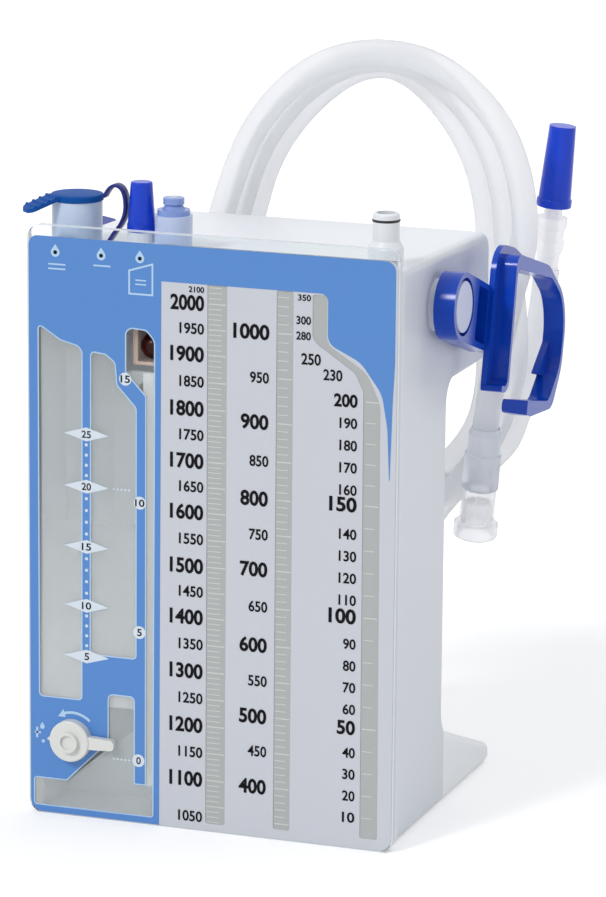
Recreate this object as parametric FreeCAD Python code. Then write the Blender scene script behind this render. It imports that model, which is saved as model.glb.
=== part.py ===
# Chest drainage unit: a white moulded casing behind a clear front plate, with ports and caps on top,
# a tap on the front, a swivelling bed-rail hanger on each side, and a loose coil of patient tube.
# Millimetres. X is to the right as the user faces the front, Y to the back, Z up from the floor.
import FreeCAD, Part
import math
import os

Vector = FreeCAD.Vector

# How far a cutter runs past the face it opens
OVERSHOOT = 1.0

# Front plate
PLATE_W = 170.0
PLATE_H = 265.0
PLATE_T = 2.5
PLATE_CORNER_R = 6.5
FRONT_Y = -75.0
LABEL_T = 0.3
LABEL_SIDE_GAP = 0.8
LABEL_BOTTOM = 0.8
LABEL_TOP_GAP = 5.0
LABEL_CORNER_R = 4.0
LABEL_TAP_GAP = 0.4
# The chambers, their windows, the tap and the ports keep their places in a layout of this size
ACROSS = PLATE_W / 170.0
UPWARD = PLATE_H / 265.0

# Windows of the label, as (x, z, corner radius)
WINDOWS = {
    "suction": [(-79.6, 54.2, 1.5), (-60.0, 54.2, 1.5), (-59.6, 210.5, 3.0), (-61.5, 212.6, 2.0),
                (-69.5, 214.6, 3.0), (-79.6, 220.8, 1.0)],
    "suction_arm": [(-55.5, 75.4, 1.5), (-34.4, 75.4, 1.5), (-34.4, 187.4, 3.0), (-43.4, 196.9, 3.0),
                    (-44.2, 206.6, 3.0), (-48.5, 209.8, 2.0), (-55.0, 210.6, 1.5)],
    "seal": [(-29.4, 4.2, 0.0), (-26.4, 4.2, 1.0), (-25.9, 192.5, 0.0), (-25.9, 207.0, 0.0),
             (-25.9, 217.5, 4.0), (-29.5, 221.8, 3.0), (-38.8, 222.4, 3.0), (-38.8, 203.0, 2.0),
             (-29.4, 193.0, 2.0)],
    "trap": [(-82.2, 4.2, 1.0), (-29.0, 4.2, 0.0), (-29.0, 18.0, 0.0), (-35.2, 18.0, 1.0),
             (-35.2, 57.6, 2.0), (-47.0, 57.6, 2.0), (-47.0, 36.0, 2.0), (-66.9, 16.2, 2.0),
             (-82.2, 16.2, 1.0)],
    "chamber_1": [(-1.5, 4.0, 1.0), (7.5, 4.0, 1.0), (7.5, 245.0, 1.0), (-1.5, 245.0, 1.0)],
    "chamber_2": [(30.0, 5.0, 1.0), (37.6, 5.0, 1.0), (37.6, 244.2, 1.0), (30.0, 244.2, 1.0)],
    "chamber_3": [(69.9, 5.5, 1.0), (77.9, 5.5, 1.0), (77.0, 198.0, 12.0), (71.0, 211.0, 12.0),
                  (52.8, 222.5, 6.0), (52.8, 243.4, 1.0), (46.2, 243.4, 1.0), (46.2, 223.5, 6.0),
                  (65.5, 210.8, 6.0), (69.3, 203.0, 4.0)],
}

# Casing
SIDE_STEP = 3.0
BODY_W = PLATE_W - 2 * SIDE_STEP
WALL = 2.5
FLANGE_T = 4.0
FLANGE_DROP = 7.0
FLANGE_TOP = PLATE_H - FLANGE_DROP
CHAMBER_DEPTH = 78.0
TOP_DROP = 10.0
TOP_FALL = 4.5
TOP_FRONT_Z = PLATE_H - TOP_DROP
TOP_REAR_Z = TOP_FRONT_Z - TOP_FALL
BOX_REACH = 59.0
BOX_DEPTH = CHAMBER_DEPTH + BOX_REACH
BOX_H = 58.5
BOX_UNDERSIDE_Z = TOP_REAR_Z - BOX_H
BOX_CORNER_R = 8.0
BOX_INNER_CORNER_R = 10.0
FOOT_REACH = 71.0
FOOT_DEPTH = CHAMBER_DEPTH + FOOT_REACH
FOOT_TIP_H = 8.5
FOOT_SLOPE_DEG = 20.0
FOOT_TIP_R = 3.0
FOOT_FILLET_R = 14.0
BODY_EDGE_R = 4.0

# Chamber walls: x of each wall's middle, and its top
RIB_T = 1.6
WALL_3_2_X = 53.0 * ACROSS
WALL_3_2_TOP = 243.0 * UPWARD
WALL_2_1_X = 11.0 * ACROSS
WALL_2_1_TOP = 238.0 * UPWARD
SEAL_SIDE_X = -22.4 * ACROSS
SEAL_DEPTH = 32.0
SUCTION_WALL_X = -57.5 * ACROSS
SUCTION_WALL_Z = (52.0 * UPWARD, 232.0 * UPWARD)
SEAL_WALL_X = -32.7 * ACROSS
SEAL_WALL_Z = (20.0 * UPWARD, 198.0 * UPWARD)
SHELF_Z = 52.0 * UPWARD
TRAP_X = -48.4 * ACROSS
TRAP_LOW = (-67.0 * ACROSS, 17.5 * UPWARD)
TRAP_HIGH_Z = 33.0 * UPWARD

# Ports on the top, at their depth behind the front face
PORT_DEPTH = 20.0
SUCTION_X = -69.8 * ACROSS
SUCTION_R = 11.0
SUCTION_BORE_R = 9.4
SUCTION_H = 18.0
SUCTION_TOP_Z = TOP_FRONT_Z + SUCTION_H
LID_R = 11.6
LID_T = 3.2
LID_EDGE_R = 0.7
PLUG_H = 1.8
PLUG_GAP = 0.6
PLUG_TAPER_DEG = 35.0
# Middle line of the grip tongue from the lid's edge, as (along, down)
TONGUE_PATH = [(3.0, 1.0), (-1.5, 0.6), (-11.0, 6.0)]
TONGUE_BEND_R = 3.0
TONGUE_W = 11.0
TONGUE_T = 1.8
TONGUE_RIB_R = 0.75
TONGUE_RIB_LIFT = 0.504
TONGUE_RIBS = (0.25, 0.5, 0.75, 0.97)
STRAP_W = 5.0
STRAP_T = 1.5
STRAP_HINGE_GAP = 1.15
HINGE_BEAD_R = 0.5
HINGE_BEAD_L = 6.0
HINGE_OUT = 0.15
HINGE_DROP = 0.3
STRAP_BEND_R = 1.7
STRAP_DROP = 1.0
STRAP_ROOT_DROP = 11.6
STRAP_ROOT_SINK = 0.1
# Middle line of the strap from beside the lid, as (along, up)
STRAP_PATH = [(0.0, 0.0), (3.5, 2.6), (8.6, 1.4), (10.3, -4.6), (7.0, -10.2)]
VACUUM_PITCH = 30.0
VACUUM_X = SUCTION_X + VACUUM_PITCH
VACUUM_R = 4.0
VACUUM_BORE_R = 2.4
VACUUM_SEAT_H = 6.5
VACUUM_STUB_H = 17.5
VACUUM_CAP_H = 21.5
VACUUM_CAP_SEAT_Z = TOP_FRONT_Z + VACUUM_SEAT_H
VACUUM_TOP_Z = VACUUM_CAP_SEAT_Z + VACUUM_STUB_H
VACUUM_CAP_TOP_Z = VACUUM_CAP_SEAT_Z + VACUUM_CAP_H
VACUUM_CAP_RIM_T = 3.0
VACUUM_CAP_RIM_STEP = 0.3
VACUUM_CAP_END_GAP = 0.3
VACUUM_CAP_BASE_R = 6.0
VACUUM_CAP_TOP_R = 4.7
VACUUM_CAP_FIT = 0.05
VACUUM_CAP_EDGE_R = 0.7
VALVE_PITCH = 14.9
VALVE_X = VACUUM_X + VALVE_PITCH
VALVE_STUB_R = 8.2
VALVE_STUB_H = 14.5
VALVE_STUB_TOP_Z = TOP_FRONT_Z + VALVE_STUB_H
VALVE_FLANGE_R = 7.1
VALVE_FLANGE_T = 2.4
VALVE_WAIST_R = 3.6
VALVE_WAIST_LOW_R = 5.2
VALVE_WAY_R = 3.3
VALVE_RIM_R = 4.6
VALVE_H = 7.5
VALVE_TOP_Z = VALVE_STUB_TOP_Z + VALVE_H
VALVE_RIM_T = 2.8
VALVE_SPIGOT_R = 5.5
VALVE_SPIGOT_H = 5.0
STEM_R = 2.3
STEM_FIT = 0.06
STEM_H = 12.0
STEM_PROUD = 0.3
STEM_EDGE_R = 0.4
POST_X = 71.7 * ACROSS
POST_R = 5.8
POST_BORE_R = 4.2
POST_H = 15.0
POST_BASE_R = 7.6
POST_BASE_H = 7.0
POST_BASE_TOP_Z = TOP_FRONT_Z + POST_BASE_H
POST_TOP_Z = POST_BASE_TOP_Z + POST_H
POST_SPIGOT_R = 6.5
POST_SPIGOT_H = 6.0
POST_FOOT_H = 3.0
POST_EDGE_R = 1.2
RING_DROP = 3.2
RING_Z = POST_TOP_Z - RING_DROP
RING_WIRE_R = 0.7
RING_GROOVE_D = 1.1

# Float ball of the water seal
BALL_R = 6.2
BALL_X = -29.5 * ACROSS
BALL_Z = 213.4 * UPWARD
BALL_DEPTH = 10.5
BALL_GAP = 0.25
BALL_RISE = 6.0
CAGE_WALL = 1.4
CAGE_LIP = 0.8
CAGE_SEAT_GAP = 0.02
CAGE_WAY_SHARE = 0.6

# Tap on the front
TAP_X = -64.2 * ACROSS
TAP_Z = 35.5 * UPWARD
TAP_R = 9.3
TAP_T = 4.5
TAP_HUB_R = 4.6
TAP_HUB_T = 2.0
TAP_LEVER_REACH = 21.0
TAP_LEVER_W = 6.5
TAP_LEVER_TIP_W = 4.6
TAP_LEVER_STEP = 0.6
TAP_POINTER_REACH = 11.6
TAP_POINTER_W = 10.0
TAP_POINTER_STEP = 1.6
TAP_RECESS_WALL = 1.3
TAP_RECESS_D = 1.2
SPINDLE_R = 4.0
SPINDLE_FIT = 0.05
SPINDLE_L = 12.0
SPINDLE_END_GAP = 0.3
TAP_SOCKET_WALL = 2.0
TAP_SEAL_WIRE_R = 0.9
TAP_SEAL_CLEAR = 0.02
TAP_SEAL_GROOVE_GAP = 0.25
TAP_LIFT = 0.1
TAP_EDGE_R = 0.8
TAP_TIP_ROUND = 0.9
TAP_POINTER_R = 0.5

# Hangers: their pivot, and their profile in (back, up) from the pivot before they are tilted
PIVOT_DEPTH = 58.7
PIVOT_DROP = 24.2
PIVOT_Z = TOP_FRONT_Z - PIVOT_DROP
HANGER_TILT_DEG = -15.0
HANGER_GAP = 0.5
HANGER_INNER_X = PLATE_W / 2 + HANGER_GAP
HANGER_ARM_W = 9.5
HANGER_BAR_W = 9.5
HANGER_WEB_T = 2.2
HANGER_RIB_T = 2.1
HANGER_RIB_ROOT = 0.4
HANGER_BARB_T = 3.2
HANGER_LIP_SKEW = 8.4
HANGER_LIP_FRONT = 69.0
HANGER_LIP_LOW = -43.0
HANGER_LIP_H = 12.0
HANGER_RING_R = 15.0
PIN_BORE_R = 8.05
PIN_R = 8.0
PIN_HEAD_R = 11.3
PIN_HEAD_T = 3.0
PIN_HEAD_GAP = 0.3
PIN_EDGE_R = 0.5
PIN_POCKET_R = 12.7
PIN_END_PLAY = 0.3
PIN_ROOT_L = 6.0
BOSS_R = 11.5
ARM_TOP = (40.8, 11.7)
ARM_LOW = (43.6, -17.0)
# Hanger outlines, as (back, up, corner radius) from the pivot
HANGER_BAR = [(35.0, -34.0, 0.8), (35.0, -31.2, 0.8), (43.0, -31.2, 4.0), (40.4, 27.6, 6.0),
              (91.0, 27.0, 20.0), (126.3, 13.5, 24.0), (126.3, -17.0, 25.0), (116.5, -36.2, 10.0),
              (84.0, -41.9, 6.0), (69.0, -41.5, 2.8), (69.0, -35.6, 2.8), (110.0, -33.4, 8.0),
              (123.6, -16.4, 20.0), (123.6, 12.0, 22.0), (98.0, 21.6, 12.0), (43.2, 21.0, 4.0),
              (45.8, -34.0, 6.8)]
HANGER_RIB = [(35.4, -33.6, 0.8), (35.2, -30.0, 3.0), (33.2, 31.2, 13.0), (60.0, 31.4, 16.0),
              (86.0, 26.6, 0.0), (86.0, 23.0, 0.0), (45.0, 23.0, 0.0), (45.4, -33.6, 2.0)]
HANGER_BARB = [(124.6, -5.0, 0.0), (110.0, -21.6, 0.6), (124.6, -21.8, 0.0)]
HANGER_POCKET = [(18.8, 11.0, 1.0), (32.6, 10.0, 1.0), (33.8, -13.9, 1.0), (18.8, -12.9, 1.0)]
HANGER_SLOT = [(35.4, 9.8, 0.8), (39.0, 9.5, 0.8), (40.2, -14.2, 0.8), (36.6, -14.0, 0.8)]

# Patient tube. Places are (x, depth behind the front face, z)
TUBE_R = 6.0
# The coil stands on the floor behind the foot and leans on the top box: its plane's foot, turn and lean
COIL_FOOT = (0.0, 174.05, 0.0)
COIL_TURN_DEG = 8.7
COIL_LEAN_DEG = 3.1
COIL_T = 30.0
COIL_BAND = 29.0
COIL_EDGE_R = 6.0
# Middle line of the coil's turns in its plane, as (across, up, corner radius)
COIL_LINE = [(76.5, 316.0, 62.0), (-32.0, 316.0, 58.0), (-80.0, 128.0, 60.0), (-80.0, 15.1, 38.0),
             (-22.0, 15.1, 36.0), (76.5, 150.0, 60.0)]
PATIENT_ROUTE = [(89.3, 200.0, 222.0), (87.31, 200.0, 201.0), (84.5, 196.0, 178.0), (81.0, 188.5, 156.0),
                 (74.0, 186.0, 136.0)]
UNIT_ROUTE = [(78.23, 145.82, 157.88), (79.37, 144.82, 168.0), (82.2, 149.5, 191.0), (84.0, 159.5, 214.0),
              (84.6, 167.0, 236.0)]
LIMP_TURN = 0.45

# Connectors on the two ends of the tube
UNIT_AXIS_TOP = (78.23, 145.82, 157.88)
UNIT_AXIS_LOW = (71.8, 151.5, 100.5)
CUFF_R = 8.4
CUFF_L = 29.5
CUFF_NECK_R = 7.5
CUFF_NECK_L = 12.0
CUFF_MOUTH_R = 6.6
CUFF_MOUTH_L = 3.0
CUFF_GRIP = 8.0
CUFF_EDGE_R = 0.7
SOCKET_R = 6.9
SOCKET_RIB_R = 7.8
SOCKET_RIB_T = 1.6
SOCKET_RIBS = 8
SOCKET_L = 16.0
SOCKET_FLANGE_R = 10.0
SOCKET_FLANGE_T = 7.4
SOCKET_BORE_R = 5.95
SOCKET_BORE_L = 17.0
SOCKET_SEAL_R = 7.75
SOCKET_SEAL_L = 6.0
SOCKET_BARB_R = 4.6
SOCKET_EDGE_R = 1.2
STEP_LOW = (89.3, 200.0, 222.0)
STEP_TOP = (95.7, 200.0, 289.5)
STEP_SIZES = [(5.2, 7.5), (6.6, 6.5), (6.1, 5.0), (6.9, 6.0), (4.2, 2.0), (4.2, 20.0)]
STEP_LEAD_SHARE = 0.35
STEP_BORE_R = 2.8
CAP_START = 29.8
CAP_L = 37.8
CAP_LOW_R = 7.6
CAP_TOP_R = 6.1
CAP_RIM_R = 8.1
CAP_RIM_T = 4.0
CAP_FIT = 0.06
CAP_END_GAP = 0.5
CAP_EDGE_R = 0.7


def at(x, depth, z):
    """Point at a depth behind the front face."""
    return Vector(x, FRONT_Y + depth, z)


def corner_arc(before, corner, after, radius):
    """Tangent points and middle of the arc that rounds a corner."""
    a = (before - corner).normalize()
    b = (after - corner).normalize()
    half = a.getAngle(b) / 2
    reach = radius / math.tan(half)
    bisector = (a + b).normalize()
    centre = corner + bisector * (radius / math.sin(half))
    return corner + a * reach, centre - bisector * radius, corner + b * reach


def rounded_wire(points, radii, closed=True):
    """Wire through corner points, each rounded by its radius (0 keeps it sharp)."""
    count = len(points)
    edges = []
    last = None
    first = None
    for i, corner in enumerate(points):
        inner = closed or 0 < i < count - 1
        if inner and radii[i] > 0:
            start, middle, end = corner_arc(points[i - 1], corner, points[(i + 1) % count], radii[i])
        else:
            start, middle, end = corner, None, corner
        if last is not None and (start - last).Length > 1e-6:
            edges.append(Part.LineSegment(last, start).toShape())
        if middle is not None:
            edges.append(Part.Arc(start, middle, end).toShape())
        if first is None:
            first = start
        last = end
    if closed and (first - last).Length > 1e-6:
        edges.append(Part.LineSegment(last, first).toShape())
    return Part.Wire(edges)


def prism(points, radii, sweep):
    return Part.Face(rounded_wire(points, radii)).extrude(sweep)


def box(x0, x1, depth0, depth1, z0, z1):
    return Part.makeBox(x1 - x0, depth1 - depth0, z1 - z0, at(x0, depth0, z0))


def post(radius, x, depth, z0, z1):
    return Part.makeCylinder(radius, z1 - z0, at(x, depth, z0), Vector(0, 0, 1))


def cone(radius0, radius1, x, depth, z0, z1):
    return Part.makeCone(radius0, radius1, z1 - z0, at(x, depth, z0), Vector(0, 0, 1))


def along_x(radius, x0, x1, depth, z):
    return Part.makeCylinder(radius, x1 - x0, at(x0, depth, z), Vector(1, 0, 0))


def along_y(radius, x, depth0, depth1, z):
    return Part.makeCylinder(radius, depth1 - depth0, at(x, depth0, z), Vector(0, 1, 0))


def fuse(first, *others):
    return first.fuse(list(others)).removeSplitter()


def fillet_some(solid, radius, wanted):
    edges = [edge for edge in solid.Edges if wanted(edge)]
    return solid.makeFillet(radius, edges)


def is_ring(edge):
    return len(edge.Vertexes) == 1


def plate_outline(inset, top, depth, radius):
    """Front outline of the plate, flange or label, as points and radii."""
    half = PLATE_W / 2 - inset
    points = [at(-half, depth, inset), at(half, depth, inset), at(half, depth, top), at(-half, depth, top)]
    return points, [radius] * 4


# Casing


def side_profile(inset):
    """Side outline of the casing: front, floor, foot, rear wall, top box, top. Inset for its hollow."""
    slope = math.tan(math.radians(FOOT_SLOPE_DEG))
    ramp_shift = inset / math.cos(math.radians(FOOT_SLOPE_DEG))
    front = PLATE_T + FLANGE_T
    top_slope = (TOP_FRONT_Z - TOP_REAR_Z) / BOX_DEPTH
    rear_foot = FOOT_DEPTH - inset
    rear_wall = CHAMBER_DEPTH - inset
    rear_box = BOX_DEPTH - inset
    tip_z = FOOT_TIP_H + inset * slope - ramp_shift
    heel_z = FOOT_TIP_H + (FOOT_DEPTH - rear_wall) * slope - ramp_shift
    corners = [
        (front, inset, 0),
        (rear_foot, inset, max(FOOT_TIP_R - inset, 0)),
        (rear_foot, tip_z, max(FOOT_TIP_R - inset, 0)),
        (rear_wall, heel_z, FOOT_FILLET_R + inset),
        (rear_wall, BOX_UNDERSIDE_Z + inset, BOX_INNER_CORNER_R + inset),
        (rear_box, BOX_UNDERSIDE_Z + inset, BOX_CORNER_R - inset),
        (rear_box, TOP_FRONT_Z - top_slope * rear_box - inset, BOX_CORNER_R - inset),
        (front, TOP_FRONT_Z - top_slope * front - inset, 0),
    ]
    return corners


def casing_solid(inset, half_width, front_depth):
    corners = side_profile(inset)
    corners[0] = (front_depth, corners[0][1], 0)
    corners[-1] = (front_depth, corners[-1][1], 0)
    points = [at(-half_width, depth, z) for depth, z, radius in corners]
    return prism(points, [radius for depth, z, radius in corners], Vector(2 * half_width, 0, 0))


def chamber_walls():
    """Walls of the collection chambers and of the water seal, before they are cut to the hollow."""
    floor = 0.0
    front = PLATE_T
    ceiling = TOP_FRONT_Z
    half = RIB_T / 2
    side = -BODY_W / 2
    walls = [
        box(WALL_3_2_X - half, WALL_3_2_X + half, front, FOOT_DEPTH, floor, WALL_3_2_TOP),
        box(WALL_2_1_X - half, WALL_2_1_X + half, front, FOOT_DEPTH, floor, WALL_2_1_TOP),
        box(SEAL_SIDE_X - half, SEAL_SIDE_X + half, front, SEAL_DEPTH, floor, ceiling),
        box(side, SEAL_SIDE_X + half, SEAL_DEPTH - RIB_T, SEAL_DEPTH, floor, ceiling),
        box(SUCTION_WALL_X - half, SUCTION_WALL_X + half, front, SEAL_DEPTH, *SUCTION_WALL_Z),
        box(SEAL_WALL_X - half, SEAL_WALL_X + half, front, SEAL_DEPTH, *SEAL_WALL_Z),
        box(side, TRAP_X + half, front, SEAL_DEPTH, SHELF_Z, SHELF_Z + RIB_T),
        box(TRAP_X - half, TRAP_X + half, front, SEAL_DEPTH, TRAP_HIGH_Z, SHELF_Z),
        box(side, TRAP_LOW[0], front, SEAL_DEPTH, TRAP_LOW[1] - RIB_T, TRAP_LOW[1]),
    ]
    ramp = [
        at(TRAP_LOW[0], front, TRAP_LOW[1] - RIB_T),
        at(TRAP_X + half, front, TRAP_HIGH_Z),
        at(TRAP_X - half, front, TRAP_HIGH_Z + RIB_T),
        at(TRAP_LOW[0], front, TRAP_LOW[1] + RIB_T / 2),
    ]
    walls.append(prism(ramp, [0] * 4, Vector(0, SEAL_DEPTH - front, 0)))
    return walls


def tap_socket():
    return along_y(SPINDLE_R + SPINDLE_FIT + TAP_SOCKET_WALL, TAP_X, PLATE_T, SEAL_DEPTH, TAP_Z)


def make_body_shell():
    half = BODY_W / 2
    outer = casing_solid(0.0, half, PLATE_T)
    outer = fillet_some(outer, BODY_EDGE_R, on_side_outline)
    hollow = casing_solid(WALL, half - WALL, PLATE_T - 1.0)
    points, radii = plate_outline(0.0, FLANGE_TOP, PLATE_T, PLATE_CORNER_R)
    flange = prism(points, radii, Vector(0, FLANGE_T, 0))
    stubs = [
        post(SUCTION_R, SUCTION_X, PORT_DEPTH, TOP_REAR_Z, SUCTION_TOP_Z),
        post(VACUUM_CAP_BASE_R, VACUUM_X, PORT_DEPTH, TOP_REAR_Z, VACUUM_CAP_SEAT_Z),
        post(VACUUM_R, VACUUM_X, PORT_DEPTH, TOP_REAR_Z, VACUUM_TOP_Z),
        post(VALVE_STUB_R, VALVE_X, PORT_DEPTH, TOP_REAR_Z, VALVE_STUB_TOP_Z),
        post(POST_BASE_R, POST_X, PORT_DEPTH, TOP_REAR_Z, POST_BASE_TOP_Z),
    ]
    bosses = [along_x(BOSS_R, half - WALL, HANGER_INNER_X - PIN_END_PLAY, PIVOT_DEPTH, PIVOT_Z),
              along_x(BOSS_R, PIN_END_PLAY - HANGER_INNER_X, WALL - half, PIVOT_DEPTH, PIVOT_Z)]
    walls = [wall.common(hollow) for wall in chamber_walls() + [tap_socket()]]
    shell = fuse(outer, flange, *stubs)
    shell = shell.cut(hollow)
    shell = fuse(shell, *walls, *bosses)
    sockets = [
        post(SUCTION_BORE_R, SUCTION_X, PORT_DEPTH, TOP_REAR_Z - WALL * 2, SUCTION_TOP_Z + OVERSHOOT),
        post(VACUUM_BORE_R, VACUUM_X, PORT_DEPTH, TOP_REAR_Z - WALL * 2, VACUUM_TOP_Z + OVERSHOOT),
        post(VALVE_SPIGOT_R, VALVE_X, PORT_DEPTH, VALVE_STUB_TOP_Z - VALVE_SPIGOT_H,
             VALVE_STUB_TOP_Z + OVERSHOOT),
        post(VALVE_WAY_R, VALVE_X, PORT_DEPTH, TOP_REAR_Z - WALL * 2, VALVE_STUB_TOP_Z),
        post(POST_SPIGOT_R, POST_X, PORT_DEPTH, POST_BASE_TOP_Z - POST_SPIGOT_H,
             POST_BASE_TOP_Z + OVERSHOOT),
        post(POST_BORE_R, POST_X, PORT_DEPTH, TOP_REAR_Z - WALL * 2, POST_BASE_TOP_Z),
        along_y(SPINDLE_R + SPINDLE_FIT, TAP_X, 0.0, PLATE_T + SPINDLE_L, TAP_Z),
        along_x(PIN_R, HANGER_INNER_X - PIN_ROOT_L, HANGER_INNER_X + OVERSHOOT, PIVOT_DEPTH, PIVOT_Z),
        along_x(PIN_R, -HANGER_INNER_X - OVERSHOOT, PIN_ROOT_L - HANGER_INNER_X, PIVOT_DEPTH, PIVOT_Z),
    ]
    for socket in sockets:
        shell = shell.cut(socket)
    return shell.removeSplitter()


def on_side_outline(edge):
    """An edge of the casing's side faces, apart from its front one."""
    bounds = edge.BoundBox
    on_side = abs(abs(bounds.Center.x) - BODY_W / 2) < 1e-3 and bounds.XLength < 1e-3
    return on_side and bounds.YMax > FRONT_Y + PLATE_T + 1.0


# Front plate, label, tap


def make_front_plate():
    points, radii = plate_outline(0.0, PLATE_H, 0.0, PLATE_CORNER_R)
    plate = prism(points, radii, Vector(0, PLATE_T, 0))
    return plate.cut(along_y(SPINDLE_R + SPINDLE_FIT, TAP_X, -OVERSHOOT, PLATE_T + OVERSHOOT, TAP_Z))


def window_cutter(name):
    outline = WINDOWS[name]
    points = [at(x * ACROSS, -LABEL_T - OVERSHOOT, z * UPWARD) for x, z, radius in outline]
    return prism(points, [radius for x, z, radius in outline], Vector(0, LABEL_T + 2 * OVERSHOOT, 0))


def make_front_label():
    half = PLATE_W / 2 - LABEL_SIDE_GAP
    top = PLATE_H - LABEL_TOP_GAP
    points = [at(-half, -LABEL_T, LABEL_BOTTOM), at(half, -LABEL_T, LABEL_BOTTOM),
              at(half, -LABEL_T, top), at(-half, -LABEL_T, top)]
    bottom_r = PLATE_CORNER_R - LABEL_SIDE_GAP
    label = prism(points, [bottom_r, bottom_r, LABEL_CORNER_R, LABEL_CORNER_R], Vector(0, LABEL_T, 0))
    for name in WINDOWS:
        label = label.cut(window_cutter(name))
    return label.cut(along_y(SPINDLE_R + LABEL_TAP_GAP, TAP_X, -LABEL_T - OVERSHOOT, OVERSHOOT, TAP_Z))


def make_tap_knob():
    back = -LABEL_T - TAP_LIFT
    front = back - TAP_T
    disc = along_y(TAP_R, TAP_X, front, back, TAP_Z)
    disc = fillet_some(disc, TAP_EDGE_R, lambda edge: abs(edge.BoundBox.Center.y - FRONT_Y - front) < 1e-3)
    half = TAP_LEVER_W / 2
    tip = TAP_LEVER_TIP_W / 2
    lever_face = front + TAP_LEVER_STEP
    lever_tip = TAP_X + TAP_LEVER_REACH
    lever = prism([at(TAP_X, lever_face, TAP_Z - half), at(lever_tip, lever_face, TAP_Z - tip),
                   at(lever_tip, lever_face, TAP_Z + tip), at(TAP_X, lever_face, TAP_Z + half)],
                  [0, tip * TAP_TIP_ROUND, tip * TAP_TIP_ROUND, 0], Vector(0, TAP_T - 2 * TAP_LEVER_STEP, 0))
    pointer_face = front + TAP_POINTER_STEP
    pointer_half = TAP_POINTER_W / 2
    pointer = prism([at(TAP_X, pointer_face, TAP_Z - pointer_half),
                     at(TAP_X, pointer_face, TAP_Z + pointer_half),
                     at(TAP_X - TAP_POINTER_REACH, pointer_face, TAP_Z)],
                    [0, 0, TAP_POINTER_R], Vector(0, TAP_T - TAP_POINTER_STEP - TAP_LEVER_STEP, 0))
    hub = along_y(TAP_HUB_R, TAP_X, front - TAP_HUB_T, front + 0.5, TAP_Z)
    spindle = along_y(SPINDLE_R, TAP_X, front, PLATE_T + SPINDLE_L - SPINDLE_END_GAP, TAP_Z)
    groove = seal_ring(TAP_SEAL_GROOVE_GAP)
    hub_face = front - TAP_HUB_T
    recess_r = TAP_HUB_R - TAP_RECESS_WALL
    recess = along_y(recess_r, TAP_X, hub_face - OVERSHOOT, hub_face + TAP_RECESS_D, TAP_Z)
    return fuse(disc, lever, pointer, hub, spindle).cut(recess).cut(groove)


def seal_ring(extra):
    centre = at(TAP_X, PLATE_T + SPINDLE_L / 2, TAP_Z)
    ring_r = SPINDLE_R + SPINDLE_FIT - TAP_SEAL_CLEAR - TAP_SEAL_WIRE_R
    return Part.makeTorus(ring_r, TAP_SEAL_WIRE_R + extra, centre, Vector(0, 1, 0))


# Caps and ports on the top


def make_suction_lid():
    top = SUCTION_TOP_Z + LID_T
    disc = post(LID_R, SUCTION_X, PORT_DEPTH, SUCTION_TOP_Z, top)
    disc = fillet_some(disc, LID_EDGE_R, lambda edge: abs(edge.BoundBox.Center.z - top) < 1e-3)
    plug_top_r = SUCTION_BORE_R - PLUG_GAP
    plug_low_r = plug_top_r - PLUG_H * math.tan(math.radians(PLUG_TAPER_DEG))
    plug = cone(plug_low_r, plug_top_r, SUCTION_X, PORT_DEPTH, SUCTION_TOP_Z - PLUG_H, SUCTION_TOP_Z)
    edge_x = SUCTION_X - LID_R
    path = [(edge_x + along, top - drop) for along, drop in TONGUE_PATH]
    tongue = band(path, TONGUE_W, TONGUE_T, TONGUE_BEND_R)
    ribs = []
    for share in TONGUE_RIBS:
        x = path[1][0] + (path[2][0] - path[1][0]) * share
        z = path[1][1] + (path[2][1] - path[1][1]) * share + TONGUE_RIB_LIFT
        ribs.append(along_y(TONGUE_RIB_R, x, PORT_DEPTH - TONGUE_W / 2, PORT_DEPTH + TONGUE_W / 2, z))
    hinge_x = SUCTION_X + LID_R + HINGE_OUT
    half = HINGE_BEAD_L / 2
    bead = along_y(HINGE_BEAD_R, hinge_x, PORT_DEPTH - half, PORT_DEPTH + half, top - HINGE_DROP)
    return fuse(disc, plug, tongue, bead, *ribs)


def band(path, width, thickness, radius):
    """Flat band of a width along Y whose middle line runs through (x, z) points."""
    points = [at(x, PORT_DEPTH - width / 2, z) for x, z in path]
    radii = [radius] * len(points)
    above = rounded_wire(offset_points(points, thickness / 2), radii, False)
    below = rounded_wire(offset_points(points, -thickness / 2), radii, False)
    start = Part.LineSegment(below.OrderedVertexes[0].Point, above.OrderedVertexes[0].Point).toShape()
    end = Part.LineSegment(above.OrderedVertexes[-1].Point, below.OrderedVertexes[-1].Point).toShape()
    outline = Part.Wire(Part.__sortEdges__(above.Edges + below.Edges + [start, end]))
    return Part.Face(outline).extrude(Vector(0, width, 0))


def offset_points(points, distance):
    """Points moved sideways in the XZ plane, so that each run moves by the distance."""
    moved = []
    for i, point in enumerate(points):
        runs = []
        if i > 0:
            runs.append((point - points[i - 1]).normalize())
        if i < len(points) - 1:
            runs.append((points[i + 1] - point).normalize())
        sides = [Vector(-run.z, 0, run.x) for run in runs]
        middle = sides[0] if len(sides) == 1 else (sides[0] + sides[1]).normalize()
        moved.append(point + middle * (distance / middle.dot(sides[0])))
    return moved


def make_lid_strap():
    """Strap from beside the lid, over and down to its root on the port."""
    x0 = SUCTION_X + LID_R + STRAP_HINGE_GAP
    z0 = SUCTION_TOP_Z + LID_T - STRAP_DROP
    root = (SUCTION_X + SUCTION_R - STRAP_ROOT_SINK, z0 - STRAP_ROOT_DROP)
    path = [(x0 + along, z0 + up) for along, up in STRAP_PATH] + [root]
    tube = post(SUCTION_R, SUCTION_X, PORT_DEPTH, TOP_REAR_Z, SUCTION_TOP_Z)
    return band(path, STRAP_W, STRAP_T, STRAP_BEND_R).cut(tube)


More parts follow.
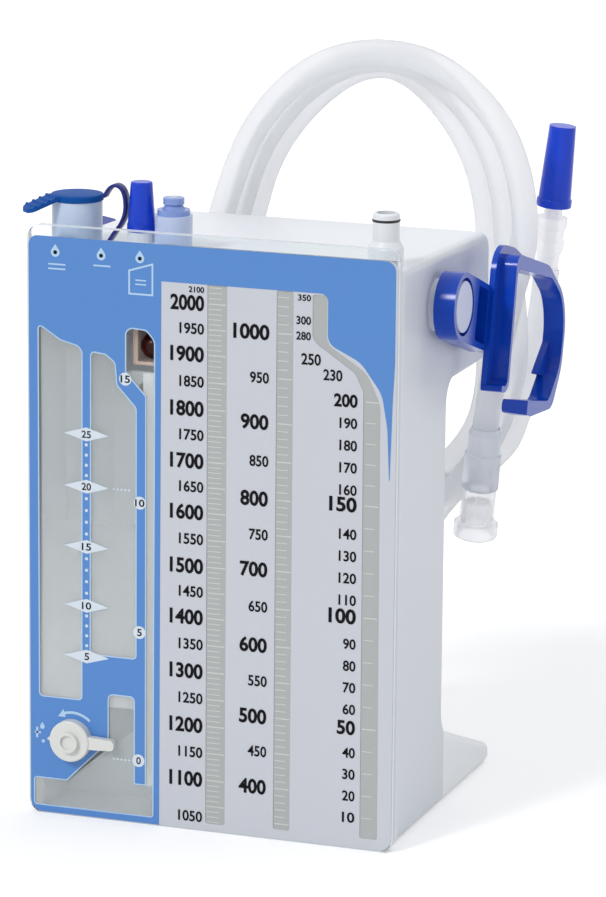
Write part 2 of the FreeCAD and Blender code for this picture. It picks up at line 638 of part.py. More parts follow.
def make_vacuum_cap():
    seat = VACUUM_CAP_SEAT_Z
    rim_top = seat + VACUUM_CAP_RIM_T
    skirt = cone(VACUUM_CAP_BASE_R, VACUUM_CAP_TOP_R, VACUUM_X, PORT_DEPTH, rim_top, VACUUM_CAP_TOP_Z)
    rim = post(VACUUM_CAP_BASE_R + VACUUM_CAP_RIM_STEP, VACUUM_X, PORT_DEPTH, seat, rim_top)
    bore_top = VACUUM_TOP_Z + VACUUM_CAP_END_GAP
    bore = post(VACUUM_R + VACUUM_CAP_FIT, VACUUM_X, PORT_DEPTH, seat - OVERSHOOT, bore_top)
    cap = fuse(skirt, rim)
    cap = fillet_some(cap, VACUUM_CAP_EDGE_R, lambda e: abs(e.BoundBox.Center.z - VACUUM_CAP_TOP_Z) < 1e-3)
    return cap.cut(bore)


def make_valve_body():
    stub = VALVE_STUB_TOP_Z
    flange_top = stub + VALVE_FLANGE_T
    rim_low = VALVE_TOP_Z - VALVE_RIM_T
    pieces = [
        post(VALVE_SPIGOT_R, VALVE_X, PORT_DEPTH, stub - VALVE_SPIGOT_H, stub),
        post(VALVE_FLANGE_R, VALVE_X, PORT_DEPTH, stub, flange_top),
        cone(VALVE_WAIST_LOW_R, VALVE_WAIST_R, VALVE_X, PORT_DEPTH, flange_top, rim_low),
        post(VALVE_RIM_R, VALVE_X, PORT_DEPTH, rim_low, VALVE_TOP_Z),
    ]
    bore = post(STEM_R + STEM_FIT, VALVE_X, PORT_DEPTH, stub - VALVE_SPIGOT_H - OVERSHOOT,
                VALVE_TOP_Z + OVERSHOOT)
    return fuse(*pieces).cut(bore)


def make_valve_stem():
    top = VALVE_TOP_Z + STEM_PROUD
    stem = post(STEM_R, VALVE_X, PORT_DEPTH, top - STEM_H, top)
    return fillet_some(stem, STEM_EDGE_R, lambda e: abs(e.BoundBox.Center.z - top) < 1e-3)


def make_patient_port():
    base = POST_BASE_TOP_Z
    foot = cone(POST_BASE_R, POST_R, POST_X, PORT_DEPTH, base, base + POST_FOOT_H)
    shaft = post(POST_R, POST_X, PORT_DEPTH, base, POST_TOP_Z)
    shaft = fillet_some(shaft, POST_EDGE_R, lambda e: abs(e.BoundBox.Center.z - POST_TOP_Z) < 1e-3)
    spigot = post(POST_SPIGOT_R, POST_X, PORT_DEPTH, base - POST_SPIGOT_H, base)
    bore = post(POST_BORE_R, POST_X, PORT_DEPTH, base - POST_SPIGOT_H - OVERSHOOT, POST_TOP_Z + OVERSHOOT)
    return fuse(foot, shaft, spigot).cut(bore).cut(port_ring_shape())


def port_ring_shape():
    ring_r = POST_R + RING_WIRE_R - RING_GROOVE_D
    return Part.makeTorus(ring_r, RING_WIRE_R, at(POST_X, PORT_DEPTH, RING_Z), Vector(0, 0, 1))


# Float ball and its cage


def make_float_ball():
    return Part.makeSphere(BALL_R, at(BALL_X, BALL_DEPTH, BALL_Z))


def make_float_cage():
    """Insert round the ball, open to the front, with a seat below and a sealing ring above."""
    inner = BALL_R + BALL_GAP
    low = BALL_Z - BALL_R - CAGE_WALL
    high = BALL_Z + BALL_R + BALL_RISE + CAGE_WALL
    outer = box(BALL_X - inner - CAGE_WALL, SEAL_SIDE_X - RIB_T / 2, BALL_DEPTH - inner,
                SEAL_DEPTH - RIB_T, low, high)
    hollow = post(inner, BALL_X, BALL_DEPTH, low + CAGE_WALL, high - CAGE_WALL)
    mouth = inner - CAGE_LIP
    front = box(BALL_X - mouth, BALL_X + mouth, 0.0, BALL_DEPTH, low + CAGE_WALL, high - CAGE_WALL)
    way = post(BALL_R * CAGE_WAY_SHARE, BALL_X, BALL_DEPTH, low - OVERSHOOT, high + OVERSHOOT)
    seat = Part.makeSphere(BALL_R + CAGE_SEAT_GAP, at(BALL_X, BALL_DEPTH, BALL_Z))
    return outer.cut(hollow).cut(front).cut(way).cut(seat)


# Hangers


def hanger_prism(outline, x0, x1):
    points = [at(x0, PIVOT_DEPTH + u, PIVOT_Z + v) for u, v, radius in outline]
    return prism(points, [radius for u, v, radius in outline], Vector(x1 - x0, 0, 0))


def tangent_point(end, side):
    """Point on the hanger's ring where a line from the end touches it, above (1) or below (-1)."""
    distance = math.hypot(end[0], end[1])
    angle = math.atan2(end[1], end[0]) + side * math.acos(HANGER_RING_R / distance)
    return HANGER_RING_R * math.cos(angle), HANGER_RING_R * math.sin(angle), 0.0


def hanger_arm(x0, x1):
    """Ring and the arm that is tangent to it, out to the bar."""
    ring = along_x(HANGER_RING_R, x0, x1, PIVOT_DEPTH, PIVOT_Z)
    top = (ARM_TOP[0], ARM_TOP[1], 0.0)
    low = (ARM_LOW[0], ARM_LOW[1], 0.0)
    arm = [tangent_point(top, 1), top, low, tangent_point(low, -1)]
    return fuse(ring, hanger_prism(arm, x0, x1))


def lip_corner(x0, x1):
    """Wedge off the lip's front end, so that it slants back to the outer side."""
    front = PIVOT_DEPTH + HANGER_LIP_FRONT
    past = x1 + OVERSHOOT
    back = front + HANGER_LIP_SKEW * (past - x0) / (x1 - x0)
    corners = [(x0, front), (past, back), (past, front - OVERSHOOT), (x0, front - OVERSHOOT)]
    low = PIVOT_Z + HANGER_LIP_LOW
    points = [at(x, depth, low) for x, depth in corners]
    return prism(points, [0.0] * len(points), Vector(0, 0, HANGER_LIP_H))


def make_hanger():
    x0 = HANGER_INNER_X
    x1 = x0 + HANGER_ARM_W
    x2 = x1 + HANGER_BAR_W
    arm = hanger_arm(x0, x1)
    arm = arm.cut(hanger_prism(HANGER_POCKET, x0 + HANGER_WEB_T, x1 + OVERSHOOT))
    arm = arm.cut(hanger_prism(HANGER_SLOT, x0 + HANGER_WEB_T, x1 + OVERSHOOT))
    bar = hanger_prism(HANGER_BAR, x1, x2)
    rib = hanger_prism(HANGER_RIB, x1 - HANGER_RIB_ROOT, x1 + HANGER_RIB_T)
    barb = hanger_prism(HANGER_BARB, x1, x1 + HANGER_BARB_T)
    hanger = fuse(arm, bar, rib, barb)
    hanger = hanger.cut(lip_corner(x1, x2))
    hanger = hanger.cut(along_x(PIN_BORE_R, x0 - OVERSHOOT, x1 + OVERSHOOT, PIVOT_DEPTH, PIVOT_Z))
    pocket_x = x1 - PIN_HEAD_T - PIN_HEAD_GAP
    hanger = hanger.cut(along_x(PIN_POCKET_R, pocket_x, x1 + OVERSHOOT, PIVOT_DEPTH, PIVOT_Z))
    hanger.rotate(at(0.0, PIVOT_DEPTH, PIVOT_Z), Vector(1, 0, 0), HANGER_TILT_DEG)
    return hanger


def make_pivot_pin():
    x1 = HANGER_INNER_X + HANGER_ARM_W
    shaft = along_x(PIN_R, HANGER_INNER_X - PIN_ROOT_L, x1 - PIN_HEAD_T, PIVOT_DEPTH, PIVOT_Z)
    head = along_x(PIN_HEAD_R, x1 - PIN_HEAD_T, x1, PIVOT_DEPTH, PIVOT_Z)
    head = fillet_some(head, PIN_EDGE_R, lambda e: abs(e.BoundBox.Center.x - x1) < 1e-3)
    return fuse(shaft, head)


def mirrored(shape):
    return shape.mirror(Vector(0, 0, 0), Vector(1, 0, 0))


# Patient tube


def make_tube_coil():
    """Outer shape of the coil: a closed band round the middle line of its turns."""
    middle = [Vector(across, -COIL_T / 2, up) for across, up, radius in COIL_LINE]
    line = rounded_wire(middle, [radius for across, up, radius in COIL_LINE])
    outer = Part.Face(line.makeOffset2D(COIL_BAND / 2))
    inner = Part.Face(line.makeOffset2D(-COIL_BAND / 2))
    if outer.Area < inner.Area:
        outer, inner = inner, outer
    coil = outer.cut(inner).extrude(Vector(0, COIL_T, 0)).Solids[0]
    coil = fillet_some(coil, COIL_EDGE_R, lambda edge: edge.BoundBox.YLength < 1e-3)
    coil.rotate(Vector(), Vector(1, 0, 0), COIL_LEAN_DEG)
    coil.rotate(Vector(), Vector(0, 0, 1), COIL_TURN_DEG)
    coil.translate(at(*COIL_FOOT))
    return coil


def cord_tube(name, route):
    """Tube of straight runs joined by tangent arcs, each as large as its two runs allow."""
    points = [at(*place) for place in route]
    radii = [0.0] * len(points)
    for i in range(1, len(points) - 1):
        before = points[i - 1] - points[i]
        after = points[i + 1] - points[i]
        turn = math.pi - before.getAngle(after)
        radii[i] = LIMP_TURN * min(before.Length, after.Length) / math.tan(turn / 2)
    path = rounded_wire(points, radii, False)
    section = Part.Wire(Part.Circle(points[0], points[1] - points[0], TUBE_R).toShape())
    tube = path.makePipeShell([section], True, False)
    expected = math.pi * TUBE_R ** 2 * path.Length
    print(name, "length", round(path.Length, 1), "radii", [round(r) for r in radii[1:-1]],
          "volume / section x length", round(tube.Volume / expected, 4))
    return tube


def on_axis(start, end, distance):
    a = at(*start)
    b = at(*end)
    return a + (b - a).normalize() * distance


def turned(start, end, along, length, radius, top_radius=None):
    """Cylinder or cone on the axis from start to end, beginning a distance along it."""
    base = on_axis(start, end, along)
    direction = at(*end) - at(*start)
    if top_radius is None or abs(top_radius - radius) < 1e-9:
        return Part.makeCylinder(radius, length, base, direction)
    return Part.makeCone(radius, top_radius, length, base, direction)


def make_tube_cuff():
    """Soft cuff over the tube's end: it holds the tube from above and the connector's barb from below."""
    grip = turned(UNIT_AXIS_TOP, UNIT_AXIS_LOW, CUFF_NECK_L, CUFF_L - CUFF_NECK_L, CUFF_R)
    grip = fillet_some(grip, CUFF_EDGE_R, is_ring)
    mouth = turned(UNIT_AXIS_TOP, UNIT_AXIS_LOW, 0.0, CUFF_MOUTH_L, CUFF_MOUTH_R, CUFF_NECK_R)
    neck = turned(UNIT_AXIS_TOP, UNIT_AXIS_LOW, CUFF_MOUTH_L, CUFF_NECK_L, CUFF_NECK_R)
    cuff = fuse(grip, mouth, neck)
    return cuff.cut(turned(UNIT_AXIS_TOP, UNIT_AXIS_LOW, CUFF_L - CUFF_GRIP, CUFF_GRIP + OVERSHOOT,
                           SOCKET_BARB_R))


def make_unit_connector():
    total = SOCKET_L + SOCKET_FLANGE_T
    start = CUFF_L
    barb = turned(UNIT_AXIS_TOP, UNIT_AXIS_LOW, start - CUFF_GRIP, CUFF_GRIP, SOCKET_BARB_R)
    barrel = turned(UNIT_AXIS_TOP, UNIT_AXIS_LOW, start, total, SOCKET_R)
    flange = turned(UNIT_AXIS_TOP, UNIT_AXIS_LOW, start + SOCKET_L, SOCKET_FLANGE_T, SOCKET_FLANGE_R)
    flange = fillet_some(flange, SOCKET_EDGE_R, is_ring)
    sleeve = turned(UNIT_AXIS_TOP, UNIT_AXIS_LOW, start, SOCKET_L, SOCKET_RIB_R)
    axis = at(*UNIT_AXIS_LOW) - at(*UNIT_AXIS_TOP)
    turn = FreeCAD.Rotation(Vector(0, 0, 1), axis)
    placing = FreeCAD.Placement(on_axis(UNIT_AXIS_TOP, UNIT_AXIS_LOW, start), turn)
    ribs = []
    for step in range(SOCKET_RIBS // 2):
        corner = Vector(-SOCKET_RIB_R, -SOCKET_RIB_T / 2, 0)
        blade = Part.makeBox(2 * SOCKET_RIB_R, SOCKET_RIB_T, SOCKET_L, corner)
        blade.rotate(Vector(), Vector(0, 0, 1), step * 360.0 / SOCKET_RIBS)
        blade = blade.transformGeometry(placing.toMatrix())
        ribs.append(blade.common(sleeve))
    end = start + total
    bore = turned(UNIT_AXIS_TOP, UNIT_AXIS_LOW, end - SOCKET_BORE_L, SOCKET_BORE_L + OVERSHOOT,
                  SOCKET_BORE_R)
    seal = turned(UNIT_AXIS_TOP, UNIT_AXIS_LOW, end - SOCKET_SEAL_L, SOCKET_SEAL_L + OVERSHOOT,
                  SOCKET_SEAL_R)
    return fuse(barrel, barb, flange, *ribs).cut(bore).cut(seal)


def make_step_connector():
    pieces = []
    along = 0.0
    radius_before = STEP_SIZES[0][0]
    for radius, length in STEP_SIZES:
        lead_in = length * STEP_LEAD_SHARE
        pieces.append(turned(STEP_LOW, STEP_TOP, along, lead_in, radius_before, radius))
        pieces.append(turned(STEP_LOW, STEP_TOP, along + lead_in, length - lead_in, radius))
        along += length
        radius_before = radius
    bore = turned(STEP_LOW, STEP_TOP, -OVERSHOOT, along + 2 * OVERSHOOT, STEP_BORE_R)
    return fuse(*pieces).cut(bore)


def make_connector_cap():
    stub_r = STEP_SIZES[-1][0]
    reach = sum(length for radius, length in STEP_SIZES)
    rim = turned(STEP_LOW, STEP_TOP, CAP_START, CAP_RIM_T, CAP_RIM_R)
    rim = fillet_some(rim, CAP_EDGE_R, is_ring)
    skirt_start = CAP_RIM_T / 2
    skirt = turned(STEP_LOW, STEP_TOP, CAP_START + skirt_start, CAP_L - skirt_start, CAP_LOW_R, CAP_TOP_R)
    cap = fuse(rim, skirt)
    bore_l = reach + CAP_END_GAP - CAP_START + OVERSHOOT
    return cap.cut(turned(STEP_LOW, STEP_TOP, CAP_START - OVERSHOOT, bore_l, stub_r + CAP_FIT))


def export(name, shape):
    shape.exportStep("parts/%s.step" % name)


def main():
    os.makedirs("parts", exist_ok=True)
    hanger = make_hanger()
    pin = make_pivot_pin()
    nodes = {
        "body_shell": make_body_shell(),
        "front_plate": make_front_plate(),
        "front_label": make_front_label(),
        "tap_knob": make_tap_knob(),
        "tap_seal": seal_ring(0.0),
        "suction_lid": make_suction_lid(),
        "lid_strap": make_lid_strap(),
        "vacuum_cap": make_vacuum_cap(),
        "valve_body": make_valve_body(),
        "valve_stem": make_valve_stem(),
        "patient_port": make_patient_port(),
        "port_ring": port_ring_shape(),
        "float_ball": make_float_ball(),
        "float_cage": make_float_cage(),
        "hanger_right": hanger,
        "hanger_left": mirrored(hanger),
        "pivot_pin_right": pin,
        "pivot_pin_left": mirrored(pin),
        "tube_coil": make_tube_coil(),
        "patient_tail": cord_tube("patient_tail", PATIENT_ROUTE),
        "unit_tail": cord_tube("unit_tail", UNIT_ROUTE),
        "tube_cuff": make_tube_cuff(),
        "unit_connector": make_unit_connector(),
        "step_connector": make_step_connector(),
        "connector_cap": make_connector_cap(),
    }
    for name, shape in nodes.items():
        export(name, shape)
        print(name, len(shape.Solids), shape.isValid(), round(shape.Volume, 1))


main()
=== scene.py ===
# Dressed scene of a chest drainage unit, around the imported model. Metres; places are given in
# millimetres in the part's frame (X to the right, Y to the back, Z up) and scaled by MM.
import math

import bpy
from mathutils import Matrix, Vector


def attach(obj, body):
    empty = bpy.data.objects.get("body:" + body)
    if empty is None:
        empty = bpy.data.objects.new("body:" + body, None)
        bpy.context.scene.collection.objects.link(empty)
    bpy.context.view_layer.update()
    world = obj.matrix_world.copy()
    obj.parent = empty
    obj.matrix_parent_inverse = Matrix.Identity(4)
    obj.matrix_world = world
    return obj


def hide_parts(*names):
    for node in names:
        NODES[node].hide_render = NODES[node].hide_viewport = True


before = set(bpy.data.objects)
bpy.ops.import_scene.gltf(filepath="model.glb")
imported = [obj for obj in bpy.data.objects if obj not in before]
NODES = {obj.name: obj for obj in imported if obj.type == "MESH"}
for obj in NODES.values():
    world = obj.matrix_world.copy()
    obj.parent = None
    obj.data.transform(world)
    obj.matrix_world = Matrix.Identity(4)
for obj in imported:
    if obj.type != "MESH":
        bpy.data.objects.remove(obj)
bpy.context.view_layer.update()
MM = 0.001
FRONT_Y = -75.0
SCENE = bpy.context.scene


# Camera

CAMERA_AT = Vector((688.5, -1888.9, 620.4))
CAMERA_AZIMUTH = math.radians(19.609)
CAMERA_ELEVATION = math.radians(12.992)
CAMERA_ROLL = math.radians(0.514)
CAMERA_SENSOR = 36.0
CAMERA_LENS = 185.92
CAMERA_REACH = 50.0


def place_camera():
    """The photograph's view: a long lens from the right and slightly above."""
    back = Vector((math.sin(CAMERA_AZIMUTH) * math.cos(CAMERA_ELEVATION),
                   -math.cos(CAMERA_AZIMUTH) * math.cos(CAMERA_ELEVATION), math.sin(CAMERA_ELEVATION)))
    level_right = Vector((math.cos(CAMERA_AZIMUTH), math.sin(CAMERA_AZIMUTH), 0.0))
    level_up = back.cross(level_right)
    right = math.cos(CAMERA_ROLL) * level_right + math.sin(CAMERA_ROLL) * level_up
    up = math.cos(CAMERA_ROLL) * level_up - math.sin(CAMERA_ROLL) * level_right
    placing = Matrix((right, up, back)).transposed().to_4x4()
    placing.translation = CAMERA_AT * MM
    data = bpy.data.cameras.new("photo_camera")
    data.sensor_width = CAMERA_SENSOR
    data.lens = CAMERA_LENS
    data.clip_end = CAMERA_REACH
    camera = bpy.data.objects.new("photo_camera", data)
    SCENE.collection.objects.link(camera)
    camera.matrix_world = placing
    SCENE.camera = camera


place_camera()


# Helpers for shapes

def curve_data(name, points, bevel):
    """Open NURBS curve with control points in millimetres. The points carry the bevel as their radius,
    so that the curve's bounds are true."""
    data = bpy.data.curves.new(name, "CURVE")
    data.dimensions = "3D"
    spline = data.splines.new("NURBS")
    spline.points.add(len(points) - 1)
    for spot, point in zip(spline.points, points):
        spot.co = (*(point * MM), 1.0)
        spot.radius = bevel * MM
    spline.order_u = 3
    spline.use_endpoint_u = True
    spline.resolution_u = 6
    data.bevel_depth = 1.0 if bevel else 0.0
    data.bevel_resolution = 7
    data.use_fill_caps = False
    return data


def read_mesh(data, read):
    """What read() finds in the mesh of a curve or text, which is used up."""
    probe = bpy.data.objects.new("probe", data)
    mesh = bpy.data.meshes.new_from_object(probe)
    found = read(mesh)
    bpy.data.meshes.remove(mesh)
    bpy.data.objects.remove(probe)
    bpy.data.curves.remove(data)
    return found


def curve_length(data):
    """Length of a curve's middle line, in metres."""
    bare = data.copy()
    bare.bevel_depth = 0.0

    def measure(mesh):
        places = [vertex.co for vertex in mesh.vertices]
        return sum((places[edge.vertices[0]] - places[edge.vertices[1]]).length for edge in mesh.edges)

    return read_mesh(bare, measure)


def skin(first, rings, around):
    """Faces of a closed body whose points are rings, each of so many points, from the first point on."""
    faces = [(first + a * around + i, first + a * around + (i + 1) % around,
              first + (a + 1) * around + (i + 1) % around, first + (a + 1) * around + i)
             for a in range(rings - 1) for i in range(around)]
    last = first + (rings - 1) * around
    faces.append(tuple(first + i for i in reversed(range(around))))
    faces.append(tuple(last + i for i in range(around)))
    return faces


def circle_angles(count):
    return [2 * math.pi * i / count for i in range(count)]


def mesh_object(name, places, faces):
    """New object in the scene, from places in millimetres."""
    mesh = bpy.data.meshes.new(name)
    mesh.from_pydata([place * MM for place in places], [], faces)
    obj = bpy.data.objects.new(name, mesh)
    SCENE.collection.objects.link(obj)
    return obj


# Patient tube: one cord from the cuff, up into the coil, round it, and out to the patient's connector

TUBE_D = 12.0
TURNS = 3
COIL_FOOT = Vector((0.0, 95.25, 0.0))
COIL_TURN = math.radians(8.7)
COIL_LEAN = math.radians(3.1)
COIL_ACROSS = Vector((math.cos(COIL_TURN), math.sin(COIL_TURN), 0.0))
COIL_LEVEL = Vector((-math.sin(COIL_TURN), math.cos(COIL_TURN), 0.0))
COIL_UP = Vector((0.0, 0.0, math.cos(COIL_LEAN))) - COIL_LEVEL * math.sin(COIL_LEAN)
COIL_BACK = COIL_LEVEL * math.cos(COIL_LEAN) + Vector((0.0, 0.0, math.sin(COIL_LEAN)))
# Stations once round the coil, from the right leg up and over: the outermost and the innermost strand's
# middle as (across, up) in the coil's plane, and how far each further turn lies behind the last
STATIONS = [
    (86.5, 236.0, 70.2, 236.0, 8.5), (86.6, 255.0, 69.8, 252.0, 8.5), (83.2, 274.0, 66.0, 271.0, 8.5),
    (75.8, 292.5, 58.5, 288.5, 9.0), (62.5, 308.7, 49.0, 302.0, 10.0), (46.0, 320.5, 37.0, 314.0, 11.0),
    (27.0, 325.5, 23.0, 320.5, 11.0), (7.0, 324.5, 7.0, 317.0, 11.0), (-12.0, 317.0, -9.0, 304.8, 11.0),
    (-29.0, 302.0, -22.5, 289.5, 11.0), (-43.0, 281.0, -33.0, 271.3, 11.0),
    (-53.8, 249.0, -39.8, 246.0, 11.0), (-62.0, 215.0, -48.0, 212.0, 11.0),
    (-72.0, 176.0, -58.0, 172.0, 11.0), (-83.0, 138.0, -69.0, 134.0, 11.0),
    (-87.0, 100.0, -73.0, 100.0, 11.0), (-87.0, 62.0, -73.0, 62.0, 11.0), (-85.0, 36.0, -71.0, 40.0, 11.5),
    (-74.0, 16.5, -64.0, 26.0, 12.0), (-56.0, 9.2, -52.0, 22.0, 12.0), (-37.0, 9.5, -38.0, 23.0, 12.0),
    (-17.0, 20.0, -26.0, 30.0, 12.0), (0.0, 40.0, -11.0, 47.5, 12.0), (24.0, 74.0, 12.0, 82.0, 11.0),
    (46.7, 112.0, 40.0, 121.0, 9.0), (57.0, 124.0, 51.0, 132.0, 8.5), (69.0, 141.0, 61.5, 144.0, 8.5),
    (77.0, 158.0, 68.5, 159.0, 8.5), (83.0, 180.0, 71.0, 178.0, 8.5), (86.0, 207.0, 71.0, 205.0, 8.5),
]
LAST_HIDDEN_LEFT = 16
FIRST_RETURN = 24
FRONT_LAYER = -5.0
# Share of the way from the outermost to the innermost strand: one turn's, and at the first turn's end
TURN_INWARD = 0.5
FIRST_END_INWARD = 0.25
# Where the tube leaves the coil, as (across, up, behind), and the places at its ends, as (x, depth, z)
COIL_EXIT = (38.0, 115.0, 26.0)
UNIT_ROUTE = [(78.23, 145.82, 157.88), (79.37, 144.82, 168.0), (82.2, 149.5, 191.0), (84.0, 159.5, 214.0)]
PATIENT_ROUTE = [(74.0, 186.0, 136.0), (81.0, 188.5, 156.0), (84.5, 196.0, 178.0), (87.31, 200.0, 201.0),
                 (89.3, 200.0, 222.0)]


def from_depth(place):
    """Point given as (x, depth behind the front face, z)."""
    return Vector((place[0], FRONT_Y + place[1], place[2]))


def in_coil(across, upward, behind):
    """Point of the coil that covers the same spot of the photograph at any distance behind its plane."""
    from_eye = CAMERA_AT - COIL_FOOT
    eye = Vector((from_eye.dot(COIL_ACROSS), from_eye.dot(COIL_UP), from_eye.dot(COIL_BACK)))
    share = behind / eye.z
    return (COIL_FOOT + COIL_ACROSS * (across + (eye.x - across) * share)
            + COIL_UP * (upward + (eye.y - upward) * share) + COIL_BACK * behind)


def strand_point(station, inward, layer):
    across = station[0] + (station[2] - station[0]) * inward
    upward = station[1] + (station[3] - station[1]) * inward
    return in_coil(across, upward, FRONT_LAYER + layer * station[4])


def tube_route():
    """Control points of the whole tube. Each turn moves a layer back along the coil's hidden lower part."""
    points = [from_depth(place) for place in UNIT_ROUTE]
    for turn in range(TURNS):
        for i, station in enumerate(STATIONS):
            if turn == TURNS - 1 and i >= FIRST_RETURN:
                break
            inward = turn * TURN_INWARD
            moved = 0.0
            if i > LAST_HIDDEN_LEFT:
                moved = min(1.0, (i - LAST_HIDDEN_LEFT) / (FIRST_RETURN - 1 - LAST_HIDDEN_LEFT))
            if turn == 1:
                inward += TURN_INWARD * moved
            if turn == 0 and i == len(STATIONS) - 1:
                inward = FIRST_END_INWARD
            points.append(strand_point(station, inward, turn + moved))
    return points + [in_coil(*COIL_EXIT)] + [from_depth(place) for place in PATIENT_ROUTE]


patient_tube = bpy.data.objects.new("patient_tube", curve_data("patient_tube", tube_route(), TUBE_D / 2))
SCENE.collection.objects.link(patient_tube)
tube_length = curve_length(patient_tube.data)
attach(patient_tube, "unit")
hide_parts("tube_coil", "patient_tail", "unit_tail")


# Materials

# Each look: 8-bit sRGB colour, roughness, drift of the colour, scale and strength of the moulding texture,
# scale of the drift, and the shader's other sockets
LOOKS = {
    "casing_white": ((236, 239, 244), 0.38, 0.012, 700.0, 0.05, 18.0, {}),
    "clear_plate": ((246, 250, 250), 0.1, 0.004, 300.0, 0.0, 30.0, {"IOR": 1.12}),
    "moulded_white": ((232, 235, 240), 0.36, 0.015, 700.0, 0.05, 60.0, {}),
    # Painted shade: the white pins are given a darker bluish grey for the shade they sit in inside the blue
    # rings
    "pin_white_painted_shade": ((196, 203, 232), 0.36, 0.015, 700.0, 0.05, 60.0, {}),
    "label_film": ((200, 203, 211), 0.34, 0.012, 1500.0, 0.02, 25.0, {}),
    "tap_white": ((222, 223, 219), 0.3, 0.02, 800.0, 0.04, 50.0, {}),
    "seal_black": ((20, 20, 22), 0.45, 0.1, 1500.0, 0.08, 120.0, {}),
    "ball_red": ((48, 5, 4), 0.3, 0.08, 900.0, 0.02, 120.0, {"Specular IOR Level": 0.2}),
    "cage_clear": ((250, 222, 204), 0.2, 0.03, 900.0, 0.0, 60.0, {"Alpha": 0.5}),
    "lid_blue": ((20, 80, 158), 0.45, 0.05, 700.0, 0.04, 90.0, {"Specular IOR Level": 0.05}),
    "strap_blue": ((30, 38, 118), 0.32, 0.06, 700.0, 0.04, 90.0, {"Specular IOR Level": 0.3}),
    "hanger_blue": ((8, 66, 182), 0.17, 0.08, 600.0, 0.05, 45.0, {"Specular IOR Level": 0.3}),
    "valve_blue": ((144, 171, 235), 0.25, 0.04, 800.0, 0.03, 90.0, {"Transmission Weight": 0.2}),
    "stem_grey": ((196, 204, 224), 0.5, 0.03, 1200.0, 0.05, 90.0, {}),
    "tube_clear": ((246, 247, 249), 0.3, 0.012, 400.0, 0.02, 30.0,
                   {"Transmission Weight": 0.5, "IOR": 1.12, "Alpha": 0.86}),
    "cuff_clear": ((244, 246, 251), 0.42, 0.015, 700.0, 0.03, 60.0,
                   {"Transmission Weight": 0.6, "IOR": 1.15}),
    "connector_clear": ((250, 250, 252), 0.4, 0.015, 700.0, 0.02, 60.0,
                        {"Transmission Weight": 0.72, "IOR": 1.06}),
    "cap_blue": ((14, 64, 205), 0.22, 0.06, 500.0, 0.05, 120.0, {"Specular IOR Level": 0.3}),
    "print_blue": ((80, 134, 203), 0.36, 0.03, 1200.0, 0.02, 14.0, {}),
    "print_pale": ((178, 208, 236), 0.4, 0.02, 1200.0, 0.02, 60.0, {}),
    "print_black": ((14, 14, 18), 0.45, 0.1, 1200.0, 0.02, 200.0, {"Specular IOR Level": 0.1}),
    "print_white": ((214, 224, 234), 0.4, 0.02, 1200.0, 0.02, 60.0, {}),
    "tick_pale": ((203, 207, 202), 0.4, 0.02, 1200.0, 0.02, 200.0, {}),
}
GLOSS_DRIFT = 0.05
LEAST_ROUGHNESS = 0.02
RELIEF_DEPTH = 0.0002


def srgb(values):
    """Linear colour of an 8-bit sRGB one."""
    linear = []
    for value in values:
        c = value / 255.0
        linear.append(c / 12.92 if c <= 0.04045 else ((c + 0.055) / 1.055) ** 2.4)
    return (*linear, 1.0)


def surface(name, color, rough, shift, grain, bump, streak, sockets):
    """Moulded plastic: slow colour drift, uneven gloss and a fine moulding texture, all procedural."""
    mat = bpy.data.materials.new(name)
    mat.use_nodes = True
    tree = mat.node_tree
    shader = tree.nodes["Principled BSDF"]
    place = tree.nodes.new("ShaderNodeTexCoord")
    drift = tree.nodes.new("ShaderNodeTexNoise")
    drift.inputs["Scale"].default_value = streak
    drift.inputs["Detail"].default_value = 3.0
    tree.links.new(place.outputs["Object"], drift.inputs["Vector"])
    tone = tree.nodes.new("ShaderNodeMix")
    tone.data_type = "RGBA"
    tone.inputs[6].default_value = tuple(c * (1.0 - shift) for c in color[:3]) + (1.0,)
    tone.inputs[7].default_value = tuple(min(1.0, c * (1.0 + shift)) for c in color[:3]) + (1.0,)
    tree.links.new(drift.outputs["Fac"], tone.inputs[0])
    tree.links.new(tone.outputs[2], shader.inputs["Base Color"])
    gloss = tree.nodes.new("ShaderNodeMapRange")
    gloss.inputs["To Min"].default_value = max(LEAST_ROUGHNESS, rough - GLOSS_DRIFT)
    gloss.inputs["To Max"].default_value = rough + GLOSS_DRIFT
    tree.links.new(drift.outputs["Fac"], gloss.inputs["Value"])
    tree.links.new(gloss.outputs["Result"], shader.inputs["Roughness"])
    if bump:
        fine = tree.nodes.new("ShaderNodeTexNoise")
        fine.inputs["Scale"].default_value = grain
        tree.links.new(place.outputs["Object"], fine.inputs["Vector"])
        relief = tree.nodes.new("ShaderNodeBump")
        relief.inputs["Strength"].default_value = bump
        relief.inputs["Distance"].default_value = RELIEF_DEPTH
        tree.links.new(fine.outputs["Fac"], relief.inputs["Height"])
        tree.links.new(relief.outputs["Normal"], shader.inputs["Normal"])
    for socket, value in sockets.items():
        shader.inputs[socket].default_value = value
    return mat


def axes(tree):
    """Outputs that give a point's x, y and z on the object, in metres."""
    place = tree.nodes.new("ShaderNodeTexCoord")
    parts = tree.nodes.new("ShaderNodeSeparateXYZ")
    tree.links.new(place.outputs["Object"], parts.inputs[0])
    return parts.outputs


def math_node(tree, operation, first, second):
    node = tree.nodes.new("ShaderNodeMath")
    node.operation = operation
    for socket, value in zip(node.inputs, (first, second)):
        if isinstance(value, float):
            socket.default_value = value
        else:
            tree.links.new(value, socket)
    return node.outputs["Value"]


def beyond(tree, value, edge, soft=0.15):
    """1 where the value is above the edge, 0 below it, with a soft step."""
    ramp = tree.nodes.new("ShaderNodeMapRange")
    ramp.inputs["From Min"].default_value = (edge - soft) * MM
    ramp.inputs["From Max"].default_value = (edge + soft) * MM
    tree.links.new(value, ramp.inputs["Value"])
    return ramp.outputs["Result"]


def between(tree, value, low, high):
    """1 between the two edges."""
    return math_node(tree, "SUBTRACT", beyond(tree, value, low), beyond(tree, value, high))


